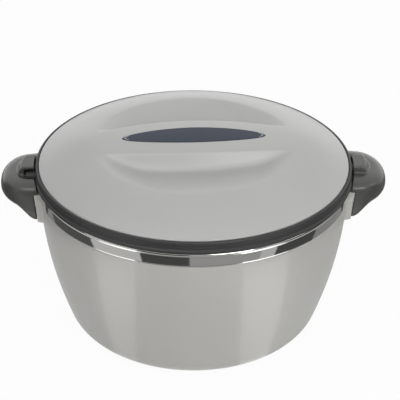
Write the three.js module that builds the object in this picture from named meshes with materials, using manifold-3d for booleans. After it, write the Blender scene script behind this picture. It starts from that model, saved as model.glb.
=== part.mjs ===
// Insulated round casserole for flat breads, with a twist-lock lid.
// Millimetres, +Z up, origin at the centre of the foot ring, handles along X.
import * as THREE from 'three';
import { mergeVertices } from 'three/addons/utils/BufferGeometryUtils.js';
import Module from 'manifold-3d';

const wasm = await Module();
wasm.setup();

// Clearances and small working lengths.
const SEAT_GAP = 0.3;
const RUN_GAP = 0.4;
const SWING_GAP = 1.1;
const CUT_PAST = 4;
const WELD_TOLERANCE = 0.0001;

// How finely round forms are divided.
const ROUND_STEPS = 36;
const SMALL_ROUND_STEPS = 10;
const ARC_STEPS = 4;
const SMALL_ARC_STEPS = 2;
const WALL_STEPS = 4;
const DOME_STEPS = 5;
const RECESS_STEPS = 4;
const HANDLE_STATIONS = 9;
const HANDLE_LOOP_STEPS = 20;
const BRIDGE_SIDE_STEPS = 62;
const BADGE_STEPS = 20;
const HOOD_STEPS = 26;

// Outer shell: a bowl that tapers to a rounded foot ring.
const SHELL_TOP_RADIUS = 135.7;
const SHELL_WALL = 2.4;
const SHELL_BELLY = 4.6;
const SHELL_RIM_LAP = 4;
const FOOT_OUTER_RADIUS = 89.7;
const FOOT_WIDTH = 9.7;
const FOOT_SLOPE = 2.5;
const FOOT_CORNER_RADIUS = 25.3;
const FOOT_CORNER_SWEEP = 1.2566;
const BASE_RECESS_DEPTH = 2.6;
const FILL_HOLE_RADIUS = 9;
const PLUG_FLANGE = 1.1;
const PLUG_FLANGE_REACH = 3;

// Steel bowl: food cavity, rolled rim and the band that drops over the shell's top edge.
const RIM_TOP_HEIGHT = 143.8;
const RIM_WIDTH = 21.7;
const RIM_CURVE_RADIUS = 5;
const RIM_BEAD_RADIUS = 1.5;
const RIM_BEAD_PROUD = 1;
const STEEL_WALL = 0.8;
const BAND_PROUD = 0.2;
const BAND_HEIGHT = 10;
const FLOOR_FOAM = 20.2;
const SIDE_FOAM = 14;
const CAVITY_CORNER_RADIUS = 24;
const RIM_BEAD_REACH = SHELL_TOP_RADIUS + RIM_BEAD_PROUD;
const CAVITY_TOP_RADIUS = RIM_BEAD_REACH - RIM_WIDTH;
const CAVITY_TOP_HEIGHT = RIM_TOP_HEIGHT - RIM_CURVE_RADIUS;
const CAVITY_FLOOR_HEIGHT = BASE_RECESS_DEPTH + SHELL_WALL + FLOOR_FOAM + STEEL_WALL;
const CAVITY_FLOOR_RADIUS = FOOT_OUTER_RADIUS + FOOT_CORNER_RADIUS - SIDE_FOAM - CAVITY_CORNER_RADIUS;
const BAND_RADIUS = SHELL_TOP_RADIUS + BAND_PROUD;
const BAND_TOP_HEIGHT = RIM_TOP_HEIGHT - 2 * RIM_BEAD_RADIUS;
const BAND_BOTTOM_HEIGHT = BAND_TOP_HEIGHT - BAND_HEIGHT;

// Where the shell stops under the band and inside it.
const SHELL_STEP_HEIGHT = BAND_BOTTOM_HEIGHT - RUN_GAP;
const SHELL_RIM_RADIUS = BAND_RADIUS - STEEL_WALL - RUN_GAP - SEAT_GAP;
const SHELL_RIM_INNER = SHELL_RIM_RADIUS + SEAT_GAP;
const SHELL_RIM_HEIGHT = RIM_TOP_HEIGHT - STEEL_WALL - 2 * RUN_GAP;

// Handle pads moulded on the shell, with a screw seat inside each.
const PAD_PROUD = 2.7;
const PAD_HEIGHT = 26.2;
const PAD_HALF_WIDTH = 33.6;
const PAD_LEAN = 0.081;
const PAD_CORNER_CHAMFER = 2;
const PAD_ROOT_DEPTH = 14.7;
const PAD_THICKNESS = 9.8;
const PAD_TOP_HEIGHT = BAND_TOP_HEIGHT - SEAT_GAP;
const PAD_BOTTOM_HEIGHT = PAD_TOP_HEIGHT - PAD_HEIGHT;
const PAD_TOP_REACH = SHELL_TOP_RADIUS + PAD_PROUD;
const PAD_ROOT_REACH = SHELL_TOP_RADIUS - PAD_ROOT_DEPTH;
const PAD_SEAT_REACH = PAD_TOP_REACH - PAD_THICKNESS;

// Screws that hold the handles, with their washers and seats.
const SCREW_EDGE_DISTANCE = 13.6;
const SCREW_DROP = 12.5;
const SCREW_SHANK_RADIUS = 1.6;
const SCREW_HEAD_RADIUS = 3.5;
const SCREW_HEAD_THICKNESS = 2.3;
const SCREW_HEAD_EDGE = 1;
const SCREW_SLOT_WIDTH = 0.9;
const SCREW_SLOT_DEPTH = 1.1;
const SCREW_SLOT_LENGTH = 4.4;
const SCREW_BITE = 8;
const SCREW_TIP_TAPER = 1.6;
const WASHER_RADIUS = 4.6;
const WASHER_THICKNESS = 1;
const BOSS_WALL = 2.2;
const BOSS_END_WALL = 1.4;
const SEAT_MARGIN = 8;
const SEAT_BELOW = 10;
const SEAT_ABOVE = 6;
const POCKET_SPARE = 2.2;
const SCREW_OFFSET = PAD_HALF_WIDTH - SCREW_EDGE_DISTANCE;
const SCREW_HEIGHT = PAD_TOP_HEIGHT - SCREW_DROP;
const SCREW_TIP_REACH = PAD_TOP_REACH + SCREW_BITE;
const BOSS_REACH = SCREW_TIP_REACH + BOSS_END_WALL;
const WASHER_NEAR = PAD_SEAT_REACH - SEAT_GAP - WASHER_THICKNESS;
const SCREW_TOP = WASHER_NEAR - SEAT_GAP - SCREW_HEAD_THICKNESS;
const PAD_POCKET_REACH = SCREW_TOP - POCKET_SPARE;
const PAD_SEAT_HALF_WIDTH = SCREW_OFFSET + SEAT_MARGIN;
const PAD_SEAT_BOTTOM = SCREW_HEIGHT - SEAT_BELOW;
const PAD_SEAT_TOP = SCREW_HEIGHT + SEAT_ABOVE;

// Lid ring, from its floor over the rim to its crest round the dome.
const RING_HEIGHT = 11.9;
const RING_FLOOR_THICKNESS = 3;
const RING_FLOOR_REACH = 4.4;
const RING_FLARE_HEIGHT = 2.4;
const RING_FLARE_WIDTH = 1.6;
const RING_FLARE_CHAMFER = 0.7;
const RING_LEDGE_DROP = 1;
const RING_BEAD_WIDTH = 0.6;
const RING_BEAD_HEIGHT = 3.9;
const RING_BEAD_REACH = 3.6;
const RING_CREST_REACH = 1.8;
const RING_GROOVE_DEPTH = 0.9;
const RING_BOTTOM_HEIGHT = RIM_TOP_HEIGHT + RUN_GAP;
const RING_TOP_HEIGHT = RING_BOTTOM_HEIGHT + RING_HEIGHT;
const RING_FLOOR_TOP = RING_BOTTOM_HEIGHT + RING_FLOOR_THICKNESS;
const RING_FLARE_TOP = RING_BOTTOM_HEIGHT + RING_FLARE_HEIGHT;
const RING_LEDGE_HEIGHT = RING_FLARE_TOP + RING_LEDGE_DROP;
const RING_BEAD_BASE = RING_TOP_HEIGHT - RING_BEAD_HEIGHT;

// Lid cover: a dome with two finger recesses that leave a bridge.
const LID_INSET = 0.4;
const LID_EDGE_DROP = 0.1;
const LID_RISE = 26;
const LID_WALL = 2.6;
const LID_LIP_DEPTH = 3.7;
const LID_LIP_WIDTH = 3.1;
const LID_SKIRT_WALL = 2.5;
const RECESS_RADIUS = 88.5;
const RECESS_DEPTH = 17.2;
const RECESS_FLOOR_POWER = 2.2;
const RECESS_END_SHARE = 0.89;
const RECESS_WALL_DRAFT = 2.6;
const BRIDGE_HALF_WIDTH = 28.8;
const BRIDGE_WAIST = 13.8;
const BRIDGE_DRAFT = 0.42;
const BADGE_END_MARGIN = 25.9;
const BADGE_SIDE_MARGIN = 14.9;
const BADGE_POWER = 1.75;
const BADGE_THICKNESS = 1.2;
const BADGE_PROUD = 0.2;
const LID_EDGE_RADIUS = SHELL_TOP_RADIUS - LID_INSET;
const LID_EDGE_HEIGHT = RING_TOP_HEIGHT - LID_EDGE_DROP;
const LID_CROWN_HEIGHT = LID_EDGE_HEIGHT + LID_RISE;
const LID_LIP_HEIGHT = LID_EDGE_HEIGHT - LID_LIP_DEPTH;
const LID_SKIRT_RADIUS = LID_EDGE_RADIUS - LID_LIP_WIDTH;
const LINER_FLANGE_HEIGHT = RING_FLOOR_TOP + SEAT_GAP + STEEL_WALL;
const LID_SKIRT_BOTTOM = LINER_FLANGE_HEIGHT + RUN_GAP;
const RECESS_FLOOR_HEIGHT = LID_CROWN_HEIGHT - RECESS_DEPTH;
const BADGE_HALF_LENGTH = RECESS_RADIUS - BADGE_END_MARGIN;
const BADGE_HALF_WIDTH = BRIDGE_HALF_WIDTH - BADGE_SIDE_MARGIN;

// How far out the ring reaches, measured from the dome that it holds.
const RING_INNER_RADIUS = LID_SKIRT_RADIUS - RING_FLOOR_REACH;
const RING_BEAD_RADIUS = LID_EDGE_RADIUS + RING_BEAD_REACH;
const RING_CREST_RADIUS = LID_EDGE_RADIUS + RING_CREST_REACH;
const RING_WALL_RADIUS = RING_BEAD_RADIUS - RING_BEAD_WIDTH;
const RING_FLARE_RADIUS = RING_WALL_RADIUS + RING_FLARE_WIDTH;

// Steel lid liner and the seal round it.
const LINER_EDGE_GAP = 0.9;
const LINER_DISH_OVERHANG = 0.6;
const LINER_DISH_SLOPE = 7.6;
const LINER_DISH_DROP = 4.2;
const LINER_BLEND_RADIUS = 3;
const SEAL_LIP_WIDTH = 2.4;
const SEAL_SHOULDER = 1.4;
const LINER_FLANGE_RADIUS = LID_SKIRT_RADIUS - LINER_EDGE_GAP;
const LINER_DISH_TOP_RADIUS = CAVITY_TOP_RADIUS + LINER_DISH_OVERHANG;
const LINER_DISH_RADIUS = LINER_DISH_TOP_RADIUS - LINER_DISH_SLOPE;
const LINER_DISH_HEIGHT = RIM_TOP_HEIGHT - LINER_DISH_DROP;
const SEAL_INNER_RADIUS = LINER_DISH_TOP_RADIUS + LINER_BLEND_RADIUS;

// Lugs on the ring, and the hoods on the handles that they turn into.
const LUG_RISE = 3.5;
const LUG_THICKNESS = 3.4;
const LUG_PROUD = 8.9;
const LUG_LENGTH = 7.2;
const LUG_STANDOFF = 0.6;
const LUG_END_RADIUS = 1.6;
const LUG_FLOOR_GAP = 0.5;
const LUG_ROOF_GAP = 1.2;
const LUG_END_GAP = 1.1;
const CHANNEL_MARGIN = 0.9;
const CHANNEL_CORNER = 2.5;
const POCKET_CORNER = 6.5;
const POCKET_INSET = 0.4;
const HOOD_ROOF = 2.7;
const HOOD_TOP_RADIUS = 29.9;
const HOOD_SPREAD = 5.1;
const HOOD_SET_BACK = 16.9;
const HOOD_CLOSED_REACH = 14;
const HOOD_CLOSED_SPREAD = 1.6;
const HOOD_MOUTH_REACH = 9.6;
const HOOD_SINK = 2.4;
const HOOD_EDGE = 1.3;
const TUNNEL_END_WALL = 2.2;
const LUG_BOTTOM_HEIGHT = RING_BOTTOM_HEIGHT + LUG_RISE;
const LUG_REACH = RING_WALL_RADIUS + LUG_PROUD;
const LUG_NEAR = HOOD_MOUTH_REACH + LUG_STANDOFF;
const CHANNEL_FLOOR_HEIGHT = LUG_BOTTOM_HEIGHT - LUG_FLOOR_GAP;
const TUNNEL_RADIUS = LUG_REACH + LUG_END_GAP;
const TUNNEL_TOP_HEIGHT = LUG_BOTTOM_HEIGHT + LUG_THICKNESS + LUG_ROOF_GAP;
const HOOD_TOP_HEIGHT = TUNNEL_TOP_HEIGHT + HOOD_ROOF;

// Handles: one moulding used twice.
const HANDLE_ROOT_SET = 0.5;
const HANDLE_LENGTH = 31.2;
const HANDLE_LAP = 0.7;
const HANDLE_RISE = 1.8;
const HANDLE_BELOW_PAD = 0.9;
const HANDLE_TIP_DROP = 14.3;
const HANDLE_BOTTOM_RISE = 12;
const HANDLE_RISE_SHARE = 0.443;
const HANDLE_PLAN_POWER = 2.26;
const HANDLE_TOP_POWER = 3.55;
const HANDLE_BOTTOM_POWER = 1.96;
const HANDLE_ROOT_POWER = 6;
const HANDLE_TIP_POWER = 2.2;
const HANDLE_STATION_POWER = 1.8;
const HANDLE_WALL = 2.8;
const HANDLE_ROOT_WALL = 5.8;
const HANDLE_CEILING_WALL = 3.6;
const HANDLE_ROOT_EXTRA = 6;
const HANDLE_ROOT_REACH = PAD_TOP_REACH - HANDLE_ROOT_SET;
const HANDLE_TIP_REACH = HANDLE_ROOT_REACH + HANDLE_LENGTH;
const HANDLE_HALF_WIDTH = PAD_HALF_WIDTH + HANDLE_LAP;
const HANDLE_TOP_HEIGHT = CHANNEL_FLOOR_HEIGHT + HANDLE_RISE;
const HANDLE_TIP_HEIGHT = HANDLE_TOP_HEIGHT - HANDLE_TIP_DROP;
const HANDLE_BOTTOM_HEIGHT = PAD_BOTTOM_HEIGHT - HANDLE_BELOW_PAD;
const HANDLE_CEILING_HEIGHT = CHANNEL_FLOOR_HEIGHT - HANDLE_CEILING_WALL;
const HOOD_CENTRE_REACH = HANDLE_ROOT_REACH - HOOD_SET_BACK;
const HOOD_FOOT_RADIUS = HOOD_TOP_RADIUS + HOOD_SPREAD;
const HOOD_FOOT_HEIGHT = HANDLE_TOP_HEIGHT - HOOD_SINK;

// Colours.
const PALE_GREY = 0xb9b9b6;
const DARK_GREY = 0x55565a;
const RING_GREY = 0x3f4146;
const STEEL = 0xc9ccd0;
const SLATE = 0x4b5160;
const FOAM = 0xe6d9a8;
const SILICONE = 0xdadada;
const PLUG_GREY = 0x8f8f8c;

// Working tools.

// The corners of a geometry joined where they meet, without flat triangles.
function welded(geometry) {
  geometry.deleteAttribute('normal');
  geometry.deleteAttribute('uv');
  const merged = mergeVertices(geometry, WELD_TOLERANCE);
  const corners = [];
  const index = merged.index.array;
  for (let i = 0; i < index.length; i += 3) {
    const [a, b, c] = [index[i], index[i + 1], index[i + 2]];
    if (a !== b && b !== c && a !== c) corners.push(a, b, c);
  }
  return { points: new Float32Array(merged.attributes.position.array), corners: new Uint32Array(corners) };
}

// Six times the signed volume, to see which way the faces look.
function windingSum({ points, corners }) {
  const [a, b, c] = [new THREE.Vector3(), new THREE.Vector3(), new THREE.Vector3()];
  let sum = 0;
  for (let i = 0; i < corners.length; i += 3) {
    a.fromArray(points, 3 * corners[i]);
    b.fromArray(points, 3 * corners[i + 1]);
    c.fromArray(points, 3 * corners[i + 2]);
    sum += a.dot(b.cross(c));
  }
  return sum;
}

// A closed body with its faces looking out.
function solid(geometry) {
  const data = welded(geometry);
  if (windingSum(data) < 0) {
    for (let i = 0; i < data.corners.length; i += 3) {
      [data.corners[i], data.corners[i + 1]] = [data.corners[i + 1], data.corners[i]];
    }
  }
  return new wasm.Manifold(new wasm.Mesh({ numProp: 3, vertProperties: data.points, triVerts: data.corners }));
}

function meshOf(name, body, colour, roughness, metalness) {
  const data = body.getMesh();
  const geometry = new THREE.BufferGeometry();
  geometry.setAttribute('position', new THREE.BufferAttribute(new Float32Array(data.vertProperties), 3));
  geometry.setIndex(new THREE.BufferAttribute(new Uint32Array(data.triVerts), 1));
  geometry.computeVertexNormals();
  const material = new THREE.MeshStandardMaterial({ color: colour, roughness, metalness, flatShading: true });
  const mesh = new THREE.Mesh(geometry, material);
  mesh.name = name;
  return mesh;
}

// A body turned about +Z from [radius, height] points, closed on the axis or on itself.
function turned(profile, steps = ROUND_STEPS) {
  const points = profile.map(([r, z]) => new THREE.Vector2(r, z));
  const onAxis = profile[0][0] === 0 && profile[profile.length - 1][0] === 0;
  if (!onAxis) points.push(points[0].clone());
  const geometry = new THREE.LatheGeometry(points, steps);
  geometry.rotateX(Math.PI / 2);
  return solid(geometry);
}

function discAbove(radius, bottom, top) {
  return turned([[0, bottom], [radius, bottom], [radius, top], [0, top]]);
}

// A turned body lying along +X through a point at y and z.
function turnedAlongX(profile, y, z) {
  return turned(profile, SMALL_ROUND_STEPS).rotate([0, 90, 0]).translate([0, y, z]);
}

// A closed plan outline given a height.
function upright(outline, bottom, top) {
  const shape = new THREE.Shape(outline.map(([x, y]) => new THREE.Vector2(x, y)));
  const geometry = new THREE.ExtrudeGeometry(shape, { depth: top - bottom, bevelEnabled: false });
  geometry.translate(0, 0, bottom);
  return solid(geometry);
}

// A closed side outline in x and z, given a width along y.
function sideways(outline, halfWidth) {
  const shape = new THREE.Shape(outline.map(([x, z]) => new THREE.Vector2(x, z)));
  const geometry = new THREE.ExtrudeGeometry(shape, { depth: 2 * halfWidth, bevelEnabled: false });
  geometry.translate(0, 0, -halfWidth);
  geometry.rotateX(Math.PI / 2);
  return solid(geometry);
}

function box(x0, x1, y0, y1, z0, z1) {
  const geometry = new THREE.BoxGeometry(x1 - x0, y1 - y0, z1 - z0);
  geometry.translate((x0 + x1) / 2, (y0 + y1) / 2, (z0 + z1) / 2);
  return solid(geometry);
}

// A body through a row of loops; each end is closed to its own middle point.
function lofted(loops) {
  const count = loops[0].length;
  const points = loops.flat();
  const corners = [];
  for (let i = 0; i + 1 < loops.length; i += 1) {
    for (let j = 0; j < count; j += 1) {
      const k = (j + 1) % count;
      const [a, b, c, d] = [i * count + j, i * count + k, (i + 1) * count + j, (i + 1) * count + k];
      corners.push(a, b, c, b, d, c);
    }
  }
  for (const end of [0, loops.length - 1]) {
    const middle = [0, 1, 2].map((axis) => loops[end].reduce((sum, p) => sum + p[axis], 0) / count);
    const tip = points.push(middle) - 1;
    for (let j = 0; j < count; j += 1) {
      const [a, b] = [end * count + j, end * count + ((j + 1) % count)];
      corners.push(...(end === 0 ? [tip, b, a] : [tip, a, b]));
    }
  }
  const geometry = new THREE.BufferGeometry();
  geometry.setAttribute('position', new THREE.BufferAttribute(new Float32Array(points.flat()), 3));
  geometry.setIndex(corners);
  return solid(geometry);
}

// Points on an arc about a centre, from one angle to another, both ends kept.
function arc(centreR, centreZ, radius, from, to, steps = ARC_STEPS) {
  const points = [];
  for (let i = 0; i <= steps; i += 1) {
    const angle = from + ((to - from) * i) / steps;
    points.push([centreR + radius * Math.cos(angle), centreZ + radius * Math.sin(angle)]);
  }
  return points;
}

// The same line moved to the right of its direction by a thickness.
function beside(line, thickness) {
  const steps = line.slice(1).map(([r, z], i) => new THREE.Vector2(r - line[i][0], z - line[i][1]).normalize());
  return line.map(([r, z], i) => {
    const before = steps[Math.max(i - 1, 0)];
    const after = steps[Math.min(i, steps.length - 1)];
    const along = before.clone().add(after).normalize();
    const reach = thickness / along.dot(after);
    return [r + along.y * reach, z - along.x * reach];
  });
}

function unionOf(bodies) {
  return bodies.reduce((sum, body) => sum.add(body));
}

// Half a turn about +Z takes a piece to the other handle.
function otherSide(body) {
  return body.rotate([0, 0, 180]);
}

function onBothSides(body) {
  return body.add(otherSide(body));
}

// Outer shell.

// The outside of the bowl from the foot ring to the step under the band.
function shellOutside() {
  const start = -Math.PI / 2;
  const corner = arc(FOOT_OUTER_RADIUS, FOOT_CORNER_RADIUS, FOOT_CORNER_RADIUS, start, start + FOOT_CORNER_SWEEP);
  const [r0, z0] = corner[corner.length - 1];
  const wall = [];
  for (let i = 1; i <= WALL_STEPS; i += 1) {
    const t = i / WALL_STEPS;
    const belly = SHELL_BELLY * 4 * t * (1 - t);
    wall.push([r0 + (SHELL_TOP_RADIUS - r0) * t + belly, z0 + (SHELL_STEP_HEIGHT - z0) * t]);
  }
  return [...corner, ...wall];
}

// The inside of the same wall, from the base floor up to the straight rim.
function shellInside(wall) {
  const floor = BASE_RECESS_DEPTH + wall;
  const kept = beside(shellOutside(), -wall).filter(([, z]) => z > floor);
  return [[FOOT_OUTER_RADIUS, floor], ...kept.slice(0, -1), [SHELL_RIM_INNER - wall, SHELL_STEP_HEIGHT - SHELL_RIM_LAP]];
}

function shellProfile() {
  return [
    [FILL_HOLE_RADIUS, BASE_RECESS_DEPTH],
    [FOOT_OUTER_RADIUS - FOOT_WIDTH - FOOT_SLOPE, BASE_RECESS_DEPTH],
    [FOOT_OUTER_RADIUS - FOOT_WIDTH, 0],
    ...shellOutside(),
    [SHELL_RIM_RADIUS, SHELL_STEP_HEIGHT],
    [SHELL_RIM_RADIUS, SHELL_RIM_HEIGHT],
    [SHELL_RIM_INNER - SHELL_WALL, SHELL_RIM_HEIGHT],
    ...shellInside(SHELL_WALL).reverse(),
    [FILL_HOLE_RADIUS, BASE_RECESS_DEPTH + SHELL_WALL],
  ];
}

// All the room inside the shell, up to a height, with the wall taken as thick as asked.
function shellRoom(wall, top) {
  const line = shellInside(wall);
  return turned([[0, line[0][1]], ...line, [SHELL_RIM_INNER - wall, top], [0, top]]);
}

// How far out the leaning face of a pad lies at a height.
function padFace(height) {
  return PAD_TOP_REACH - (PAD_TOP_HEIGHT - height) * PAD_LEAN;
}

// One pad on the +X side, with its bottom corner taken off and its seat for the screws inside.
function padOnShell() {
  const chamferTop = PAD_BOTTOM_HEIGHT + PAD_CORNER_CHAMFER;
  const block = sideways(
    [
      [PAD_ROOT_REACH, PAD_BOTTOM_HEIGHT],
      [padFace(PAD_BOTTOM_HEIGHT) - PAD_CORNER_CHAMFER, PAD_BOTTOM_HEIGHT],
      [padFace(chamferTop), chamferTop],
      [padFace(PAD_TOP_HEIGHT), PAD_TOP_HEIGHT],
      [PAD_ROOT_REACH, PAD_TOP_HEIGHT],
    ],
    PAD_HALF_WIDTH,
  );
  const bandZone = discAbove(BAND_RADIUS + RUN_GAP, BAND_BOTTOM_HEIGHT - SEAT_GAP, PAD_TOP_HEIGHT + CUT_PAST);
  const room = shellRoom(SHELL_WALL / 2, PAD_TOP_HEIGHT + CUT_PAST);
  const seat = box(
    PAD_SEAT_REACH,
    SHELL_TOP_RADIUS,
    -PAD_SEAT_HALF_WIDTH,
    PAD_SEAT_HALF_WIDTH,
    PAD_SEAT_BOTTOM,
    PAD_SEAT_TOP,
  );
  const seatLimit = shellRoom(SHELL_WALL / 2, PAD_SEAT_TOP + CUT_PAST);
  return block.subtract(bandZone).subtract(room).add(seat.intersect(seatLimit));
}

function screwSides() {
  return [-SCREW_OFFSET, SCREW_OFFSET];
}

// Round bars along +X at both screw places of one handle.
function screwBars(radius, from, to) {
  const profile = [[0, from], [radius, from], [radius, to], [0, to]];
  return unionOf(screwSides().map((y) => turnedAlongX(profile, y, SCREW_HEIGHT)));
}

function outerShell() {
  const holes = screwBars(SCREW_SHANK_RADIUS + RUN_GAP, PAD_POCKET_REACH, PAD_TOP_REACH + CUT_PAST);
  return turned(shellProfile()).add(onBothSides(padOnShell())).subtract(onBothSides(holes));
}

function foamPlug() {
  const bottom = BASE_RECESS_DEPTH - SEAT_GAP - PLUG_FLANGE;
  const top = BASE_RECESS_DEPTH + SHELL_WALL;
  return turned(
    [
      [0, bottom],
      [FILL_HOLE_RADIUS + PLUG_FLANGE_REACH, bottom],
      [FILL_HOLE_RADIUS + PLUG_FLANGE_REACH, bottom + PLUG_FLANGE],
      [FILL_HOLE_RADIUS - SEAT_GAP, bottom + PLUG_FLANGE],
      [FILL_HOLE_RADIUS - SEAT_GAP, top],
      [0, top],
    ],
    ROUND_STEPS / 2,
  );
}

// Steel bowl and the foam round it.

// The inside of the food cavity from the middle of its floor to the start of the rim bead.
function cavityLine() {
  const drop = Math.atan2(CAVITY_TOP_RADIUS - CAVITY_FLOOR_RADIUS - CAVITY_CORNER_RADIUS, CAVITY_TOP_HEIGHT);
  return [
    [0, CAVITY_FLOOR_HEIGHT],
    ...arc(
      CAVITY_FLOOR_RADIUS,
      CAVITY_FLOOR_HEIGHT + CAVITY_CORNER_RADIUS,
      CAVITY_CORNER_RADIUS,
      -Math.PI / 2,
      -drop,
    ),
    ...arc(
      CAVITY_TOP_RADIUS + RIM_CURVE_RADIUS,
      CAVITY_TOP_HEIGHT,
      RIM_CURVE_RADIUS,
      Math.PI,
      Math.PI / 2,
      SMALL_ARC_STEPS,
    ),
  ];
}

function linerLine() {
  const beadR = RIM_BEAD_REACH - RIM_BEAD_RADIUS;
  const beadZ = RIM_TOP_HEIGHT - RIM_BEAD_RADIUS;
  return [
    ...cavityLine(),
    ...arc(beadR, beadZ, RIM_BEAD_RADIUS, Math.PI / 2, -Math.PI / 4, SMALL_ARC_STEPS),
    [BAND_RADIUS, BAND_TOP_HEIGHT],
    [BAND_RADIUS, BAND_BOTTOM_HEIGHT],
  ];
}

function innerLiner() {
  const line = linerLine();
  return turned([...line, ...beside(line, STEEL_WALL).reverse()]);
}

function bodyInsulation() {
  const top = RIM_TOP_HEIGHT - STEEL_WALL - RUN_GAP;
  const around = beside(cavityLine(), STEEL_WALL + SEAT_GAP);
  const last = around[around.length - 1];
  const cavity = turned([...around, [last[0], RIM_TOP_HEIGHT + CUT_PAST], [0, RIM_TOP_HEIGHT + CUT_PAST]]);
  const pocket = box(
    PAD_POCKET_REACH,
    SHELL_TOP_RADIUS,
    -PAD_SEAT_HALF_WIDTH - SEAT_GAP,
    PAD_SEAT_HALF_WIDTH + SEAT_GAP,
    PAD_SEAT_BOTTOM - SEAT_GAP,
    PAD_SEAT_TOP + SEAT_GAP,
  );
  return shellRoom(SHELL_WALL + SEAT_GAP, top).subtract(cavity).subtract(onBothSides(pocket));
}

// Handles.

// The share of the way from the root of a handle to its tip, at a reach from the middle.
function handleShare(reach, tip) {
  return Math.min(Math.max((reach - HANDLE_ROOT_REACH) / (tip - HANDLE_ROOT_REACH), 0), 1);
}

// A value that falls from one to nothing along a rounded quarter curve.
function roundedFall(share, power) {
  return (1 - share ** power) ** (1 / power);
}

// The lower edge rises in a soft S away from the body.
function handleLower(share) {
  const q = Math.min(share / HANDLE_RISE_SHARE, 1);
  return HANDLE_BOTTOM_HEIGHT + HANDLE_BOTTOM_RISE * q * q * (3 - 2 * q);
}

// Reaches of the cross-sections, closer together near the tip.
function handleReaches(from, tip) {
  const reaches = [];
  for (let i = 0; i <= HANDLE_STATIONS; i += 1) {
    reaches.push(tip - (tip - from) * (1 - i / HANDLE_STATIONS) ** HANDLE_STATION_POWER);
  }
  return reaches;
}

// A rounded box of half width and half height, drawn as a closed loop at one reach.
function handleLoop(reach, share, halfWidth, low, high, floor) {
  const power = HANDLE_ROOT_POWER + (HANDLE_TIP_POWER - HANDLE_ROOT_POWER) * share;
  const [middle, half] = [(high + low) / 2, (high - low) / 2];
  const loop = [];
  for (let j = 0; j < HANDLE_LOOP_STEPS; j += 1) {
    const angle = (2 * Math.PI * j) / HANDLE_LOOP_STEPS;
    const [c, s] = [Math.cos(angle), Math.sin(angle)];
    const y = halfWidth * Math.sign(c) * Math.abs(c) ** (2 / power);
    const z = middle + half * Math.sign(s) * Math.abs(s) ** (2 / power);
    loop.push([reach, y, j > HANDLE_LOOP_STEPS / 2 ? floor ?? z : z]);
  }
  return loop;
}

function handleOutside() {
  const loops = handleReaches(HANDLE_ROOT_REACH, HANDLE_TIP_REACH).map((reach) => {
    const share = handleShare(reach, HANDLE_TIP_REACH);
    const halfWidth = HANDLE_HALF_WIDTH * roundedFall(share, HANDLE_PLAN_POWER);
    const rise = roundedFall(share, HANDLE_TOP_POWER);
    const fall = roundedFall(share, HANDLE_BOTTOM_POWER);
    const high = HANDLE_TIP_HEIGHT + (HANDLE_TOP_HEIGHT - HANDLE_TIP_HEIGHT) * rise;
    const low = HANDLE_TIP_HEIGHT - (HANDLE_TIP_HEIGHT - handleLower(share)) * fall;
    return handleLoop(reach, share, halfWidth, low, high);
  });
  const rootLoop = loops[0].map(([x, y, z]) => [x - HANDLE_ROOT_EXTRA, y, z]);
  return lofted([rootLoop, ...loops]);
}

// The finger space under a handle, open below.
function handleHollow() {
  const tip = HANDLE_TIP_REACH - HANDLE_WALL;
  const reaches = handleReaches(HANDLE_ROOT_REACH + HANDLE_ROOT_WALL, tip).slice(0, -1);
  const floor = HANDLE_BOTTOM_HEIGHT - CUT_PAST;
  const loops = reaches.map((reach) => {
    const share = handleShare(reach, tip);
    const halfWidth = (HANDLE_HALF_WIDTH - HANDLE_WALL) * roundedFall(share, HANDLE_PLAN_POWER);
    const rise = roundedFall(share, HANDLE_TOP_POWER);
    const high = HANDLE_TIP_HEIGHT + (HANDLE_CEILING_HEIGHT - HANDLE_TIP_HEIGHT) * rise;
    const low = Math.min(handleLower(share), high - HANDLE_WALL);
    return handleLoop(reach, share, halfWidth, low, high, floor);
  });
  return lofted(loops);
}

// What a handle must keep clear of: its pad, and above that the swing of the lid ring.
function handleClearance() {
  const low = HANDLE_BOTTOM_HEIGHT - CUT_PAST;
  const top = PAD_TOP_HEIGHT + SEAT_GAP;
  const inner = HANDLE_ROOT_REACH - 2 * HANDLE_ROOT_EXTRA;
  const padSide = sideways(
    [
      [inner, low],
      [padFace(low) + SEAT_GAP, low],
      [padFace(top) + SEAT_GAP, top],
      [inner, top],
    ],
    HANDLE_HALF_WIDTH + CUT_PAST,
  );
  return padSide.add(discAbove(RING_FLARE_RADIUS + SWING_GAP, top, HOOD_TOP_HEIGHT + CUT_PAST));
}

// The radius of a hood's outer side at a height.
function hoodRadius(height) {
  const share = (height - HOOD_FOOT_HEIGHT) / (HOOD_TOP_HEIGHT - HOOD_FOOT_HEIGHT);
  return HOOD_FOOT_RADIUS + (HOOD_TOP_RADIUS - HOOD_FOOT_RADIUS) * share;
}

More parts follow.
